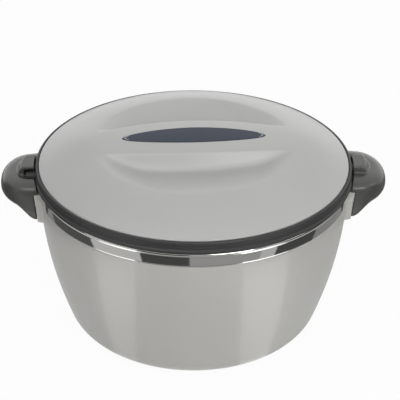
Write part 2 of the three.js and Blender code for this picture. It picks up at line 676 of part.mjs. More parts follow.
// The raised hood: part of a low cone with a broken top edge, cut flat at its mouth and steep
// at its closed end.
function hoodBlock() {
  const cone = turned(
    [
      [0, HOOD_FOOT_HEIGHT],
      [HOOD_FOOT_RADIUS, HOOD_FOOT_HEIGHT],
      [hoodRadius(HOOD_TOP_HEIGHT - HOOD_EDGE), HOOD_TOP_HEIGHT - HOOD_EDGE],
      [HOOD_TOP_RADIUS - HOOD_EDGE, HOOD_TOP_HEIGHT],
      [0, HOOD_TOP_HEIGHT],
    ],
    HOOD_STEPS,
  ).translate([HOOD_CENTRE_REACH, 0, 0]);
  const closedTop = -HOOD_CLOSED_REACH;
  const closedFoot = -HOOD_CLOSED_REACH - HOOD_CLOSED_SPREAD;
  const shape = [
    [closedFoot, HOOD_FOOT_HEIGHT],
    [HOOD_MOUTH_REACH, HOOD_FOOT_HEIGHT],
    [HOOD_MOUTH_REACH, HOOD_TOP_HEIGHT],
    [closedTop, HOOD_TOP_HEIGHT],
  ].map(([y, z]) => new THREE.Vector2(y, z));
  const reach = HOOD_CENTRE_REACH + HOOD_FOOT_RADIUS;
  const slab = new THREE.ExtrudeGeometry(new THREE.Shape(shape), { depth: reach, bevelEnabled: false });
  slab.rotateX(Math.PI / 2);
  slab.rotateZ(Math.PI / 2);
  return cone.intersect(solid(slab));
}

// The pocket in front of the mouth: it runs out to the side of the hood and has a round corner.
function lugPocket(inner, front) {
  const bend = POCKET_CORNER;
  const side = Math.sqrt(hoodRadius(HANDLE_TOP_HEIGHT) ** 2 - HOOD_MOUTH_REACH ** 2);
  const reach = HOOD_CENTRE_REACH + side - POCKET_INSET;
  const outline = [
    [inner, HOOD_MOUTH_REACH],
    [reach, HOOD_MOUTH_REACH],
    ...arc(reach - bend, front - bend, bend, 0, Math.PI / 2),
    [inner, front],
  ];
  return upright(outline, CHANNEL_FLOOR_HEIGHT, HOOD_TOP_HEIGHT + CUT_PAST);
}

// The way the lug takes: open above in front of the mouth, roofed behind it.
function lugWay() {
  const front = LUG_NEAR + LUG_LENGTH + CHANNEL_MARGIN;
  const back = -HOOD_CLOSED_REACH + TUNNEL_END_WALL;
  const inner = HANDLE_ROOT_REACH - HANDLE_ROOT_EXTRA;
  const bend = CHANNEL_CORNER;
  const outer = (y) => Math.sqrt(TUNNEL_RADIUS ** 2 - y ** 2);
  const middle = (front + back) / 2;
  const corner = arc(outer(front) - bend, front - bend, bend, 0, Math.PI / 2);
  const outline = [[inner, back], [outer(back), back], [outer(middle), middle], ...corner, [inner, front]];
  return upright(outline, CHANNEL_FLOOR_HEIGHT, TUNNEL_TOP_HEIGHT).add(lugPocket(inner, front));
}

function handle() {
  const outside = handleOutside();
  const bosses = screwBars(SCREW_SHANK_RADIUS + BOSS_WALL, HANDLE_ROOT_REACH, BOSS_REACH).intersect(outside);
  const pilots = screwBars(SCREW_SHANK_RADIUS + SEAT_GAP, PAD_SEAT_REACH, SCREW_TIP_REACH + SEAT_GAP);
  return outside
    .subtract(handleHollow())
    .add(bosses)
    .add(hoodBlock())
    .subtract(lugWay())
    .subtract(handleClearance())
    .subtract(pilots);
}

// Screws and washers.

function washer(y) {
  const [from, to] = [WASHER_NEAR, WASHER_NEAR + WASHER_THICKNESS];
  const hole = SCREW_SHANK_RADIUS + RUN_GAP;
  return turnedAlongX([[hole, from], [WASHER_RADIUS, from], [WASHER_RADIUS, to], [hole, to]], y, SCREW_HEIGHT);
}

function screw(y) {
  const top = SCREW_TOP;
  const seat = top + SCREW_HEAD_THICKNESS;
  const body = turnedAlongX(
    [
      [0, top],
      [SCREW_HEAD_RADIUS - SCREW_HEAD_EDGE, top],
      [SCREW_HEAD_RADIUS, top + SCREW_HEAD_EDGE],
      [SCREW_HEAD_RADIUS, seat],
      [SCREW_SHANK_RADIUS, seat],
      [SCREW_SHANK_RADIUS, SCREW_TIP_REACH - SCREW_TIP_TAPER],
      [0, SCREW_TIP_REACH],
    ],
    y,
    SCREW_HEIGHT,
  );
  const [long, thin] = [SCREW_SLOT_LENGTH / 2, SCREW_SLOT_WIDTH / 2];
  const bottom = top + SCREW_SLOT_DEPTH;
  const slot = (dy, dz) => box(top - CUT_PAST, bottom, y - dy, y + dy, SCREW_HEIGHT - dz, SCREW_HEIGHT + dz);
  return body.subtract(slot(long, thin).add(slot(thin, long)));
}

// Lid.

function domeHeight(radius) {
  return LID_CROWN_HEIGHT - (LID_CROWN_HEIGHT - LID_EDGE_HEIGHT) * (radius / LID_EDGE_RADIUS) ** 2;
}

// The top of the lid from its edge to its crown.
function domeLine() {
  const points = [];
  for (let i = 0; i <= DOME_STEPS; i += 1) {
    const radius = LID_EDGE_RADIUS * (1 - i / DOME_STEPS);
    points.push([radius, domeHeight(radius)]);
  }
  return points;
}

// Everything below the dome, lowered by a depth and kept inside a radius.
function underDome(depth, radius, bottom) {
  const line = beside(domeLine(), -depth).filter(([r]) => r > 0 && r < radius);
  const edge = domeHeight(radius) - depth;
  return turned([[0, bottom], [radius, bottom], [radius, edge], ...line, [0, LID_CROWN_HEIGHT - depth]]);
}

// The bridge between the two finger recesses: two large arcs back to back, wider below.
function bridge(shrink) {
  const radius = (RECESS_RADIUS ** 2 + BRIDGE_WAIST ** 2) / (2 * BRIDGE_WAIST);
  const [low, high] = [LID_EDGE_HEIGHT, LID_CROWN_HEIGHT + CUT_PAST];
  const atHeight = (z) => radius - shrink + (LID_CROWN_HEIGHT - z) * BRIDGE_DRAFT;
  const halves = [1, -1].map((side) => {
    const geometry = new THREE.CylinderGeometry(atHeight(high), atHeight(low), high - low, BRIDGE_SIDE_STEPS);
    geometry.rotateX(Math.PI / 2);
    geometry.translate(0, side * (radius - BRIDGE_HALF_WIDTH), (low + high) / 2);
    return solid(geometry);
  });
  return halves[0].intersect(halves[1]);
}

// The steep end walls of the recesses, as the space inside them.
function recessWalls(grow) {
  const [low, high] = [RECESS_FLOOR_HEIGHT - LID_WALL - CUT_PAST, LID_CROWN_HEIGHT + CUT_PAST];
  const rim = domeHeight(RECESS_RADIUS);
  const radius = RECESS_RADIUS + grow * Math.hypot(1, RECESS_WALL_DRAFT);
  return turned([[0, low], [radius - (rim - low) * RECESS_WALL_DRAFT, low], [radius, rim], [radius, high], [0, high]]);
}

// The two finger recesses as one cutter: a dish, longer along the bridge, without the bridge.
function recesses(grow) {
  const rim = domeHeight(RECESS_RADIUS);
  const floor = [];
  for (let i = 0; i <= RECESS_STEPS; i += 1) {
    const share = i / RECESS_STEPS;
    const height = RECESS_FLOOR_HEIGHT + (rim - RECESS_FLOOR_HEIGHT) * share ** RECESS_FLOOR_POWER;
    floor.push([RECESS_RADIUS * share, height]);
  }
  const grown = beside(floor, grow);
  const [lastR] = grown[grown.length - 1];
  const top = LID_CROWN_HEIGHT + CUT_PAST;
  const dish = turned([...grown, [lastR, top], [0, top]]).scale([1 / RECESS_END_SHARE, 1, 1]);
  return dish.intersect(recessWalls(grow)).subtract(bridge(grow * Math.hypot(1, BRIDGE_DRAFT)));
}

// A long pointed oval, grown by a margin.
function badgeOutline(margin) {
  const outline = [];
  for (let i = 0; i < BADGE_STEPS; i += 1) {
    const angle = (2 * Math.PI * i) / BADGE_STEPS;
    const [c, s] = [Math.cos(angle), Math.sin(angle)];
    outline.push([
      (BADGE_HALF_LENGTH + margin) * Math.sign(c) * Math.abs(c) ** (2 / BADGE_POWER),
      (BADGE_HALF_WIDTH + margin) * Math.sign(s) * Math.abs(s) ** (2 / BADGE_POWER),
    ]);
  }
  return outline;
}

function badgeSlab(margin, depth, top) {
  const column = upright(badgeOutline(margin), LID_EDGE_HEIGHT, LID_CROWN_HEIGHT + CUT_PAST);
  const kept = top === null ? column : column.intersect(underDome(-top, LID_EDGE_RADIUS, LID_EDGE_HEIGHT));
  return kept.subtract(underDome(depth, LID_EDGE_RADIUS, LID_EDGE_HEIGHT - CUT_PAST));
}

function lidCover() {
  const skirtInner = LID_SKIRT_RADIUS - LID_SKIRT_WALL;
  const dome = turned([
    [0, LID_LIP_HEIGHT],
    [LID_EDGE_RADIUS, LID_LIP_HEIGHT],
    ...domeLine(),
  ]);
  const skirt = discAbove(LID_SKIRT_RADIUS, LID_SKIRT_BOTTOM, LID_LIP_HEIGHT + LID_WALL / 2);
  const room = underDome(LID_WALL, skirtInner, LID_SKIRT_BOTTOM - CUT_PAST).subtract(recesses(LID_WALL));
  const seat = badgeSlab(SEAT_GAP, BADGE_THICKNESS - BADGE_PROUD + SEAT_GAP, null);
  return dome.add(skirt).subtract(recesses(0)).subtract(room).subtract(seat);
}

function lidBadge() {
  return badgeSlab(0, BADGE_THICKNESS - BADGE_PROUD, BADGE_PROUD);
}

// The top of the steel lid liner from its middle to the edge of its flange.
function lidLinerLine() {
  const flange = LINER_FLANGE_HEIGHT;
  return [
    [0, LINER_DISH_HEIGHT],
    [LINER_DISH_RADIUS, LINER_DISH_HEIGHT],
    [LINER_DISH_RADIUS + LINER_BLEND_RADIUS, LINER_DISH_HEIGHT + LINER_BLEND_RADIUS / 2],
    [LINER_DISH_TOP_RADIUS, flange - LINER_BLEND_RADIUS / 2],
    [LINER_DISH_TOP_RADIUS + LINER_BLEND_RADIUS, flange],
    [LINER_FLANGE_RADIUS, flange],
  ];
}

function lidLiner() {
  const line = lidLinerLine();
  return turned([...line, ...beside(line, STEEL_WALL).reverse()]);
}

function lidInsulation() {
  const radius = LID_SKIRT_RADIUS - LID_SKIRT_WALL - SEAT_GAP;
  const bottom = LINER_DISH_HEIGHT - CUT_PAST;
  const below = beside(lidLinerLine(), -SEAT_GAP);
  const reach = LID_EDGE_RADIUS + CUT_PAST;
  const linerZone = turned([
    ...below,
    [reach, below[below.length - 1][1]],
    [reach, bottom - CUT_PAST],
    [0, bottom - CUT_PAST],
  ]);
  return underDome(LID_WALL + SEAT_GAP, radius, bottom)
    .subtract(recesses(LID_WALL + SEAT_GAP))
    .subtract(linerZone);
}

function ringProfile() {
  const inner = LID_EDGE_RADIUS + SEAT_GAP;
  const well = LID_SKIRT_RADIUS + SEAT_GAP;
  const ledge = LID_LIP_HEIGHT - SEAT_GAP;
  const crown = RING_TOP_HEIGHT;
  const shoulder = RING_GROOVE_DEPTH / 2;
  return [
    [RING_INNER_RADIUS, RING_BOTTOM_HEIGHT],
    [RING_FLARE_RADIUS - RING_FLARE_CHAMFER, RING_BOTTOM_HEIGHT],
    [RING_FLARE_RADIUS, RING_BOTTOM_HEIGHT + RING_FLARE_CHAMFER],
    [RING_FLARE_RADIUS, RING_FLARE_TOP],
    [RING_WALL_RADIUS, RING_LEDGE_HEIGHT],
    [RING_WALL_RADIUS, RING_BEAD_BASE],
    [RING_BEAD_RADIUS, RING_BEAD_BASE + RING_GROOVE_DEPTH],
    [RING_BEAD_RADIUS, crown - 2 * RING_GROOVE_DEPTH],
    [RING_BEAD_RADIUS - shoulder, crown - shoulder],
    [RING_CREST_RADIUS, crown],
    [inner + shoulder, crown - shoulder],
    [inner, crown - RING_GROOVE_DEPTH],
    [inner, ledge],
    [well, ledge],
    [well, RING_FLOOR_TOP],
    [RING_INNER_RADIUS, RING_FLOOR_TOP],
  ];
}

// One lug on the +X side, standing in front of the mouth of its hood.
function lug() {
  const far = LUG_NEAR + LUG_LENGTH;
  const root = RING_CREST_RADIUS - LUG_END_RADIUS;
  const end = Math.sqrt(LUG_REACH ** 2 - far ** 2);
  const bend = LUG_END_RADIUS;
  const outline = [
    [root, LUG_NEAR],
    ...arc(end - bend, LUG_NEAR + bend, bend, -Math.PI / 2, 0),
    ...arc(end - bend, far - bend, bend, 0, Math.PI / 2),
    [root, far],
  ];
  return upright(outline, LUG_BOTTOM_HEIGHT, LUG_BOTTOM_HEIGHT + LUG_THICKNESS);
}

function lidRing() {
  return turned(ringProfile()).add(onBothSides(lug()));
}

function lidSeal() {
  const outer = RING_INNER_RADIUS - 2 * SEAT_GAP;
  const bottom = RIM_TOP_HEIGHT + SEAT_GAP;
  return turned([
    [SEAL_INNER_RADIUS, RING_FLOOR_TOP],
    [SEAL_INNER_RADIUS, bottom + SEAL_SHOULDER],
    [SEAL_INNER_RADIUS + SEAL_LIP_WIDTH, bottom],
    [outer - SEAL_LIP_WIDTH, bottom],
    [outer, bottom + SEAL_SHOULDER],
    [outer, RING_FLOOR_TOP],
  ]);
}

// The whole object.

function casserole() {
  const group = new THREE.Group();
  group.name = 'casserole';
  const place = (name, body, colour, roughness = 0.5, metalness = 0) => {
    group.add(meshOf(name, body, colour, roughness, metalness));
  };
  place('outer_shell', outerShell(), PALE_GREY);
  place('foam_plug', foamPlug(), PLUG_GREY);
  place('body_insulation', bodyInsulation(), FOAM, 0.9);
  place('inner_liner', innerLiner(), STEEL, 0.2, 1);
  const sides = [
    ['right', (body) => body],
    ['left', otherSide],
  ];
  for (const [side, toSide] of sides) {
    place(`handle_${side}`, toSide(handle()), DARK_GREY);
    screwSides().forEach((y, i) => {
      place(`handle_screw_${side}_${i + 1}`, toSide(screw(y)), STEEL, 0.3, 1);
      place(`handle_washer_${side}_${i + 1}`, toSide(washer(y)), STEEL, 0.3, 1);
    });
  }
  place('lid_cover', lidCover(), PALE_GREY);
  place('lid_ring', lidRing(), RING_GREY);
  place('lid_insulation', lidInsulation(), FOAM, 0.9);
  place('lid_liner', lidLiner(), STEEL, 0.2, 1);
  place('lid_seal', lidSeal(), SILICONE, 0.7);
  place('lid_badge', lidBadge(), SLATE, 0.4);
  return group;
}

export default casserole();
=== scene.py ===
# %% [markdown]
# # A round insulated casserole, dressed for its photograph
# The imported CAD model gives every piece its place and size. This notebook puts finer skins
# and real finishes on the pieces that the eye can reach, and leaves the hidden ones alone.
# All lengths in the tables below are millimetres; MM turns them into Blender's metres.

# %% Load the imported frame
import math
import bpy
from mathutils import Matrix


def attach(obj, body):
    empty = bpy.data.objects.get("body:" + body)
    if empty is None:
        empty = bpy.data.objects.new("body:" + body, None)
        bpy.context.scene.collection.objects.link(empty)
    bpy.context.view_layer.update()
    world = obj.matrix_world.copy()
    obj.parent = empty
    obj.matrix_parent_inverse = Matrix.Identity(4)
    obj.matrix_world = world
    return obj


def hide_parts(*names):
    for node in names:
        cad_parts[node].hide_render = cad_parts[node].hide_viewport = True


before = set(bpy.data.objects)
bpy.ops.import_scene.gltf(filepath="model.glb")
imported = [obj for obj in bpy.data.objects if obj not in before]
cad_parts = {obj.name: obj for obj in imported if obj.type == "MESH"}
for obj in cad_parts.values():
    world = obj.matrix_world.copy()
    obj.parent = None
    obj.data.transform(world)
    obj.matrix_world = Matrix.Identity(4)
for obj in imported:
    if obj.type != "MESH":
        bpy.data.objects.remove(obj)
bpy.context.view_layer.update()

from types import SimpleNamespace as Sizes

import bmesh
import bpy
import numpy as np
from mathutils import Matrix, Vector

MM = 0.001

# %% [markdown]
# ## Camera
# The lens and the place of the camera come from fitting the ellipses of the lid, the ring,
# the steel rim and the foot. A camera could be set by eye, but only a fit gets all of those
# ellipses right at once. The pot itself stands turned by a small angle, so the camera is
# turned back by the same angle.

# %% Camera
PHOTO_PIXELS = 400
FOCAL_PIXELS = 1555.0
SENSOR_WIDTH = 36.0
POT_TURN = math.radians(1.8)
POT_SHIFT = np.array([-0.7, 0.0, 0.0])
EYE = np.array([0.0, -1194.08, 810.87])
LOOK = np.array([0.00361, 0.86396, -0.50354])
RIGHT = np.array([0.99997, 0.00004, 0.00724])


def turned(x, y, angle):
    """Plan coordinates turned about Z: [x cos a - y sin a, x sin a + y cos a]."""
    c, s = math.cos(angle), math.sin(angle)
    return x * c - y * s, x * s + y * c


def turn_back(vector):
    """The vector turned about Z by minus the pot's own turn."""
    return np.array([*turned(vector[0], vector[1], -POT_TURN), vector[2]])


POT_EYE = turn_back(EYE - POT_SHIFT)


def in_scene(name, data):
    """A new object in the scene."""
    made = bpy.data.objects.new(name, data)
    bpy.context.scene.collection.objects.link(made)
    return made


def add_camera():
    """The photograph's camera: columns of the turn are right, up and minus the line of sight."""
    data = bpy.data.cameras.new("photo_camera")
    data.sensor_width = SENSOR_WIDTH
    data.lens = FOCAL_PIXELS / PHOTO_PIXELS * SENSOR_WIDTH
    data.clip_start, data.clip_end = 0.05, 20.0
    camera = in_scene("photo_camera", data)
    look, right = turn_back(LOOK), turn_back(RIGHT)
    look /= np.linalg.norm(look)
    right -= look * right.dot(look)
    right /= np.linalg.norm(right)
    up = np.cross(right, look)
    rows = np.column_stack([right, up, -look]).tolist()
    camera.matrix_world = Matrix.Translation(Vector(POT_EYE * MM)) @ Matrix(rows).to_4x4()
    bpy.context.scene.camera = camera
    return camera


camera = add_camera()
print("camera at", [round(v, 3) for v in camera.location], "lens", round(camera.data.lens, 1))

# %% [markdown]
# ## Working tools for surfaces
# Every new skin is a grid of points worked out as one array. A moulded or rolled edge never
# ends sharp, and its small arc catches the light, so the corners of a profile are rounded. A
# Bevel modifier could do that too, but here each corner gets exactly its own radius.

# %% Profiles
CORNER_SHARE = 0.46  # the most of its shorter side that a rounded corner may use
STRAIGHT = 0.01  # a corner within twice this of a straight line, in radians, stays as it is


def unit(vectors):
    """Each vector divided by its own length, with very short ones left alone."""
    length = np.linalg.norm(vectors, axis=-1, keepdims=True)
    return vectors / np.where(length < 1e-9, 1.0, length)


def full_turn(steps):
    """Evenly spaced angles once round, without the last one."""
    return np.linspace(0, 2 * math.pi, steps, endpoint=False)


def stacked(*parts):
    """Coordinates spread to one common shape and stacked into points."""
    return np.stack(np.broadcast_arrays(*parts), axis=-1)


def arc(across, along, radius, angles):
    """Points of an arc about a centre: the centre plus radius times [cos a, sin a]."""
    return stacked(across + radius * np.cos(angles), along + radius * np.sin(angles))


def rounded(corners, steps=4, support=0.35):
    """A closed line of [x, y, radius] corners with each corner replaced by an arc.

    The arc touches both sides at radius / tan(half the corner's angle) from the corner, its
    centre lies on the bisector at radius / sin(half the angle), and one more point on each
    side keeps the shading of the flats flat.
    """
    table = np.array(corners, float)
    points, radii = table[:, :2], table[:, 2]
    before, after = np.roll(points, 1, 0) - points, np.roll(points, -1, 0) - points
    room = CORNER_SHARE * np.minimum(*[np.linalg.norm(way, axis=1) for way in (before, after)])
    a, b = unit(before), unit(after)
    half = 0.5 * np.arccos(np.clip((a * b).sum(1), -1, 0.999999))
    bend = np.abs(half - math.pi / 2) > STRAIGHT
    cut = np.where(bend, np.minimum(radii / np.tan(half), room), 0.0)
    radius = cut * np.tan(half)
    centre = points + unit(a + b) * (radius / np.sin(half))[:, None]
    start, end = points + a * cut[:, None] - centre, points + b * cut[:, None] - centre
    bend = bend[:, None, None]
    sweep = np.where(bend, (math.pi - 2 * half)[:, None, None], 1.0)
    t = np.linspace(0, 1, steps + 1)[:, None]
    line = np.sin((1 - t) * sweep) * start[:, None] + np.sin(t * sweep) * end[:, None]
    line = np.where(bend, centre[:, None] + line / np.sin(sweep), points[:, None])
    extra = np.minimum(support, room - cut * 0.999)[:, None]
    first = points + a * (cut[:, None] + extra)
    last = points + b * (cut[:, None] + extra)
    return np.concatenate([first[:, None], line, last[:, None]], axis=1).reshape(-1, 2)


def smoothstep(low, high, value):
    """Nothing below low, one above high, and 3t^2 - 2t^3 in between."""
    t = np.clip((value - low) / (high - low), 0, 1)
    return t * t * (3 - 2 * t)


def soft_max(a, b, k):
    """The larger of two heights, with a blend of width k where they cross: a + b + root of
    the squared difference plus k squared, all halved."""
    return 0.5 * (a + b + np.sqrt((a - b) ** 2 + k * k))


def soft_min(a, b, k):
    """The smaller of two heights, blended the same way."""
    return -soft_max(-a, -b, k)


print("angles of four steps round:", full_turn(4).round(2).tolist())

# %% [markdown]
# ## Meshes from grids
# A grid of points becomes quads between neighbours. A Screw modifier could turn a profile as
# well, but a grid also takes shapes that are not round, so one function serves every skin.
# Doubles are merged, and every face is turned outwards.

# %% Meshes from grids
MERGE = 1e-6  # metres


def finish_mesh(mesh):
    """Merges doubles, drops faces without area and points every face outwards."""
    work = bmesh.new()
    work.from_mesh(mesh)
    bmesh.ops.remove_doubles(work, verts=work.verts, dist=MERGE)
    bmesh.ops.dissolve_degenerate(work, edges=work.edges, dist=MERGE)
    bmesh.ops.recalc_face_normals(work, faces=work.faces)
    work.to_mesh(mesh)
    work.free()
    mesh.shade_smooth()


def grid_piece(name, points, wrap_rows=True, wrap_columns=True):
    """An object from points[row, column] in millimetres, with a quad between neighbours."""
    rows, columns = points.shape[:2]
    i = np.arange(rows if wrap_rows else rows - 1)[:, None]
    j = np.arange(columns if wrap_columns else columns - 1)
    next_i, next_j = (i + 1) % rows, (j + 1) % columns
    corners = [i * columns + j, i * columns + next_j, next_i * columns + next_j, next_i * columns + j]
    quads = np.stack([corner.ravel() for corner in corners], 1)
    mesh = bpy.data.meshes.new(name)
    mesh.from_pydata((points.reshape(-1, 3) * MM).tolist(), [], quads.tolist())
    finish_mesh(mesh)
    return in_scene(name, mesh)


def lathe_points(profile, angles):
    """points[angle, step] = (r cos a, r sin a, z) for every [r, z] of a profile."""
    r, z = profile.T
    return stacked(np.cos(angles)[:, None] * r, np.sin(angles)[:, None] * r, z)


def lathe(name, profile, steps=240):
    """A closed body turned about Z from a closed profile of [r, z] points."""
    return grid_piece(name, lathe_points(profile, full_turn(steps)))


def loft(name, points):
    """A closed body through rows of closed loops; each end closes on its middle point."""
    ends = [np.broadcast_to(row.mean(1, keepdims=True), row.shape) for row in (points[:1], points[-1:])]
    return grid_piece(name, np.concatenate([ends[0], points, ends[1]]), wrap_rows=False)


def prism(name, outline, low, high):
    """A plan outline of [x, y] points given a height."""
    x, y = outline.T
    return loft(name, stacked(x, y, np.array([[low], [high]])))


print("points closer than", MERGE, "m are merged")

# %% [markdown]
# ## Joining and cutting
# Turned and lofted bodies are joined or cut by booleans. A handle is then rebuilt on fine
# voxels and relaxed, which gives every edge the small radius that a mould leaves. A bevel
# would need clean edges, and booleans between curved bodies leave none.

# %% Joining and cutting
VOXEL, RELAX, ROUNDS = 0.55, 0.5, 5


def apply_modifiers(piece):
    """The piece's mesh as its modifiers leave it, with the modifiers taken off."""
    bpy.context.view_layer.update()
    graph = bpy.context.evaluated_depsgraph_get()
    mesh = bpy.data.meshes.new_from_object(piece.evaluated_get(graph))
    piece.modifiers.clear()
    piece.data = mesh


def shaped(piece, tools, operation):
    """The piece joined with each tool in turn, or cut by it; the tools go."""
    for tool in tools:
        step = piece.modifiers.new(operation.lower(), "BOOLEAN")
        step.operation, step.object, step.solver = operation, tool, "EXACT"
        apply_modifiers(piece)
        bpy.data.objects.remove(tool)
    return piece


def soften(piece):
    """Rebuilds a piece on an even grid of voxels and relaxes it, which rounds every edge."""
    step = piece.modifiers.new("voxels", "REMESH")
    step.mode, step.voxel_size, step.use_smooth_shade = "VOXEL", VOXEL * MM, True
    step = piece.modifiers.new("relax", "SMOOTH")
    step.factor, step.iterations = RELAX, ROUNDS
    apply_modifiers(piece)
    piece.data.shade_smooth()


print("voxels of", VOXEL, "mm, relaxed", ROUNDS, "times")

# %% [markdown]
# ## Handing a piece over
# Each skin stands for a piece of the CAD model. It rides on that piece's body, so that it
# moves as the joints say, and it takes one of the part's named finishes.

# %% Handing a piece over
def placed(piece, body, slot, *nodes):
    """Gives a piece its slot's finish, the CAD body it rides on and the nodes it stands for."""
    piece.data.materials.clear()
    piece.data.materials.append(FINISHES[slot])
    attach(piece, body)
    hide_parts(*nodes)
    print(piece.name, "has", len(piece.data.polygons), "faces")


print("pieces of the CAD model:", *sorted(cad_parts))

# %% [markdown]
# ## Effects shared by the finishes
# A moulded surface has a very fine grain, it is never of one even tone, and hands polish it
# here and there. Spun steel keeps the fine rings of its tool. These effects could be built
# anew in every material. As node groups they are built once, and a finish only says how much
# of each it wants.

# %% Node helpers
def fill(node, sources):
    """Fills a node's sockets, each from another socket or with a plain value. A socket goes
    by its name, or by its number, as in i0."""
    for key, value in sources.items():
        numbered = key[0] == "i" and key[1:].isdigit()
        socket = node.inputs[int(key[1:]) if numbered else key]
        if isinstance(value, bpy.types.NodeSocket):
            node.id_data.links.new(value, socket)
        else:
            socket.default_value = value


def linked(tree, kind, settings=None, **sources):
    """The outputs of a new shader node of a kind, with its settings and sockets filled."""
    node = tree.nodes.new("ShaderNode" + kind)
    for key, value in (settings or {}).items():
        setattr(node, key, value)
    fill(node, sources)
    return node.outputs


def maths(tree, operation, *values):
    """The result of one math node on sockets and plain numbers."""
    sources = {f"i{number}": value for number, value in enumerate(values)}
    return linked(tree, "Math", {"operation": operation}, **sources)["Value"]


def new_group(name, *labels):
    """An empty shader group from a Vector and a Scale to the named values: the group, those
    two sockets and the node that takes the values."""
    group = bpy.data.node_groups.new(name, "ShaderNodeTree")
    sockets = [("Vector", "INPUT", "Vector"), ("Scale", "INPUT", "Float")]
    for label, side, kind in sockets + [(label, "OUTPUT", "Float") for label in labels]:
        group.interface.new_socket(name=label, in_out=side, socket_type="NodeSocket" + kind)
    entry, leave = group.nodes.new("NodeGroupInput").outputs, group.nodes.new("NodeGroupOutput")
    return group, entry["Vector"], entry["Scale"], leave


print("helpers:", *[helper.__name__ for helper in (fill, linked, maths, new_group)])

# %% Node groups
def make_grain_group():
    """Height: fine noise mixed with a still finer cell pattern. Mask: slow, cloudy noise."""
    group, vector, scale, leave = new_group("moulded_grain", "Height", "Mask")
    noise = linked(group, "TexNoise", Vector=vector, Scale=scale, Detail=3.0, Roughness=0.6)
    cells = linked(group, "TexVoronoi", Vector=vector, Scale=scale)
    mixed = maths(group, "MULTIPLY_ADD", cells["Distance"], 0.4, noise["Fac"])
    cloud = linked(group, "TexNoise", Vector=vector, Scale=14.0, Detail=4.0, Roughness=0.55)
    fill(leave, {"Height": mixed, "Mask": cloud["Fac"]})
    return group


def make_rub_group():
    """Mask of faint rubbing: long thin noise, sharpened so that only its crests show."""
    group, vector, scale, leave = new_group("handling_rub", "Mask")
    turn = linked(group, "Mapping", Vector=vector, Scale=(1.0, 3.2, 2.1), Rotation=(0.3, 0.2, 0.6))
    noise = linked(group, "TexNoise", Vector=turn["Vector"], Scale=scale, Detail=6.0, Roughness=0.7)
    crest = linked(group, "MapRange", Value=noise["Fac"], **{"From Min": 0.52, "From Max": 0.78})
    fill(leave, {"Mask": crest["Result"]})
    return group


def make_spun_group():
    """Height of tool rings: noise on (radius, height), which is the same all round."""
    group, vector, scale, leave = new_group("spun_rings", "Height")
    split = linked(group, "SeparateXYZ", Vector=vector)
    flat = linked(group, "CombineXYZ", X=split["X"], Y=split["Y"])
    radius = linked(group, "VectorMath", {"operation": "LENGTH"}, i0=flat["Vector"])
    place = linked(group, "CombineXYZ", X=radius["Value"], Y=split["Z"])
    noise = linked(group, "TexNoise", Vector=place["Vector"], Scale=scale, Detail=2.0)
    fill(leave, {"Height": noise["Fac"]})
    return group


GRAIN = make_grain_group()
RUB = make_rub_group()
SPUN = make_spun_group()
print("effects:", GRAIN.name, RUB.name, SPUN.name)

# %% [markdown]
# ## Finishes
# The shell and the lid are satin plastic with a faint pearl, the handles and ring are a dark
# moulding, the bowl is polished steel. Roughness wanders a little with the cloudy mask, and
# the grain is only a bump, because grooves that fine would take millions of faces. The
# badge's pale line could be a thin strip of its own; here it is a paler colour near the two
# tips, with no height. It needs the badge's size, so that stands here too.

# %% Finish makers
CLOUD, SHINE = 0.05, 0.06  # how far a moulding's roughness wanders, and falls where rubbed
RUB_SCALE, STEEL_SCALE, GRAIN_DEPTH, SPUN_DEPTH = 55.0, 300.0, 0.0003, 0.0002
LID_TURN = math.radians(2.0)
BADGE = Sizes(length=62.6, width=13.9, power=1.75)
LINE = Sizes(share=0.925, half=0.02, tips=0.9)


def new_material(name):
    """A material and its node tree."""
    material = bpy.data.materials.new(name)
    material.use_nodes = True
    return material, material.node_tree


def new_finish(name):
    """A material with its Principled shader and its Object coordinates."""
    material, tree = new_material(name)
    return material, tree, tree.nodes["Principled BSDF"], linked(tree, "TexCoord")["Object"]


def effect(tree, group, vector, scale):
    """The outputs of a shared effect placed in a finish, with its own scale."""
    return linked(tree, "Group", {"node_tree": group}, Vector=vector, Scale=scale)


def ranged(tree, value, low, high):
    """A mask from 0 to 1 carried onto the range from low to high."""
    return linked(tree, "MapRange", Value=value, **{"To Min": low, "To Max": high})["Result"]


def tinted(tree, mask, first, second):
    """A colour that goes from the first to the second with a mask."""
    return linked(tree, "Mix", {"data_type": "RGBA"}, i0=mask, i6=(*first, 1), i7=(*second, 1))[2]


def drifting(tree, mask, colour, spread):
    """A colour that drifts by a share of itself to both sides."""
    return tinted(tree, mask, [c * (1 - spread) for c in colour], [c * (1 + spread) for c in colour])


def bumped(tree, height, strength, depth):
    """The normal of a height pattern, with its depth in metres."""
    return linked(tree, "Bump", Height=height, Strength=strength, Distance=depth)["Normal"]


def moulded(name, colour, roughness, grain=900.0, bump=0.02, spread=0.05,
            specular=0.5, coat=0.0, coat_roughness=0.3):
    """Plastic: colour that drifts by spread, roughness by a cloudy mask, fine bump."""
    material, tree, shader, coords = new_finish(name)
    grained = effect(tree, GRAIN, coords, grain)
    rub = effect(tree, RUB, coords, RUB_SCALE)["Mask"]
    cloudy = ranged(tree, grained["Mask"], roughness - CLOUD, roughness + CLOUD)
    fill(shader, {"Base Color": drifting(tree, grained["Mask"], colour, spread),
                  "Roughness": maths(tree, "MULTIPLY_ADD", rub, -SHINE, cloudy),
                  "Normal": bumped(tree, grained["Height"], bump, GRAIN_DEPTH),
                  "Specular IOR Level": specular, "Coat Weight": coat, "Coat Roughness": coat_roughness})
    return material


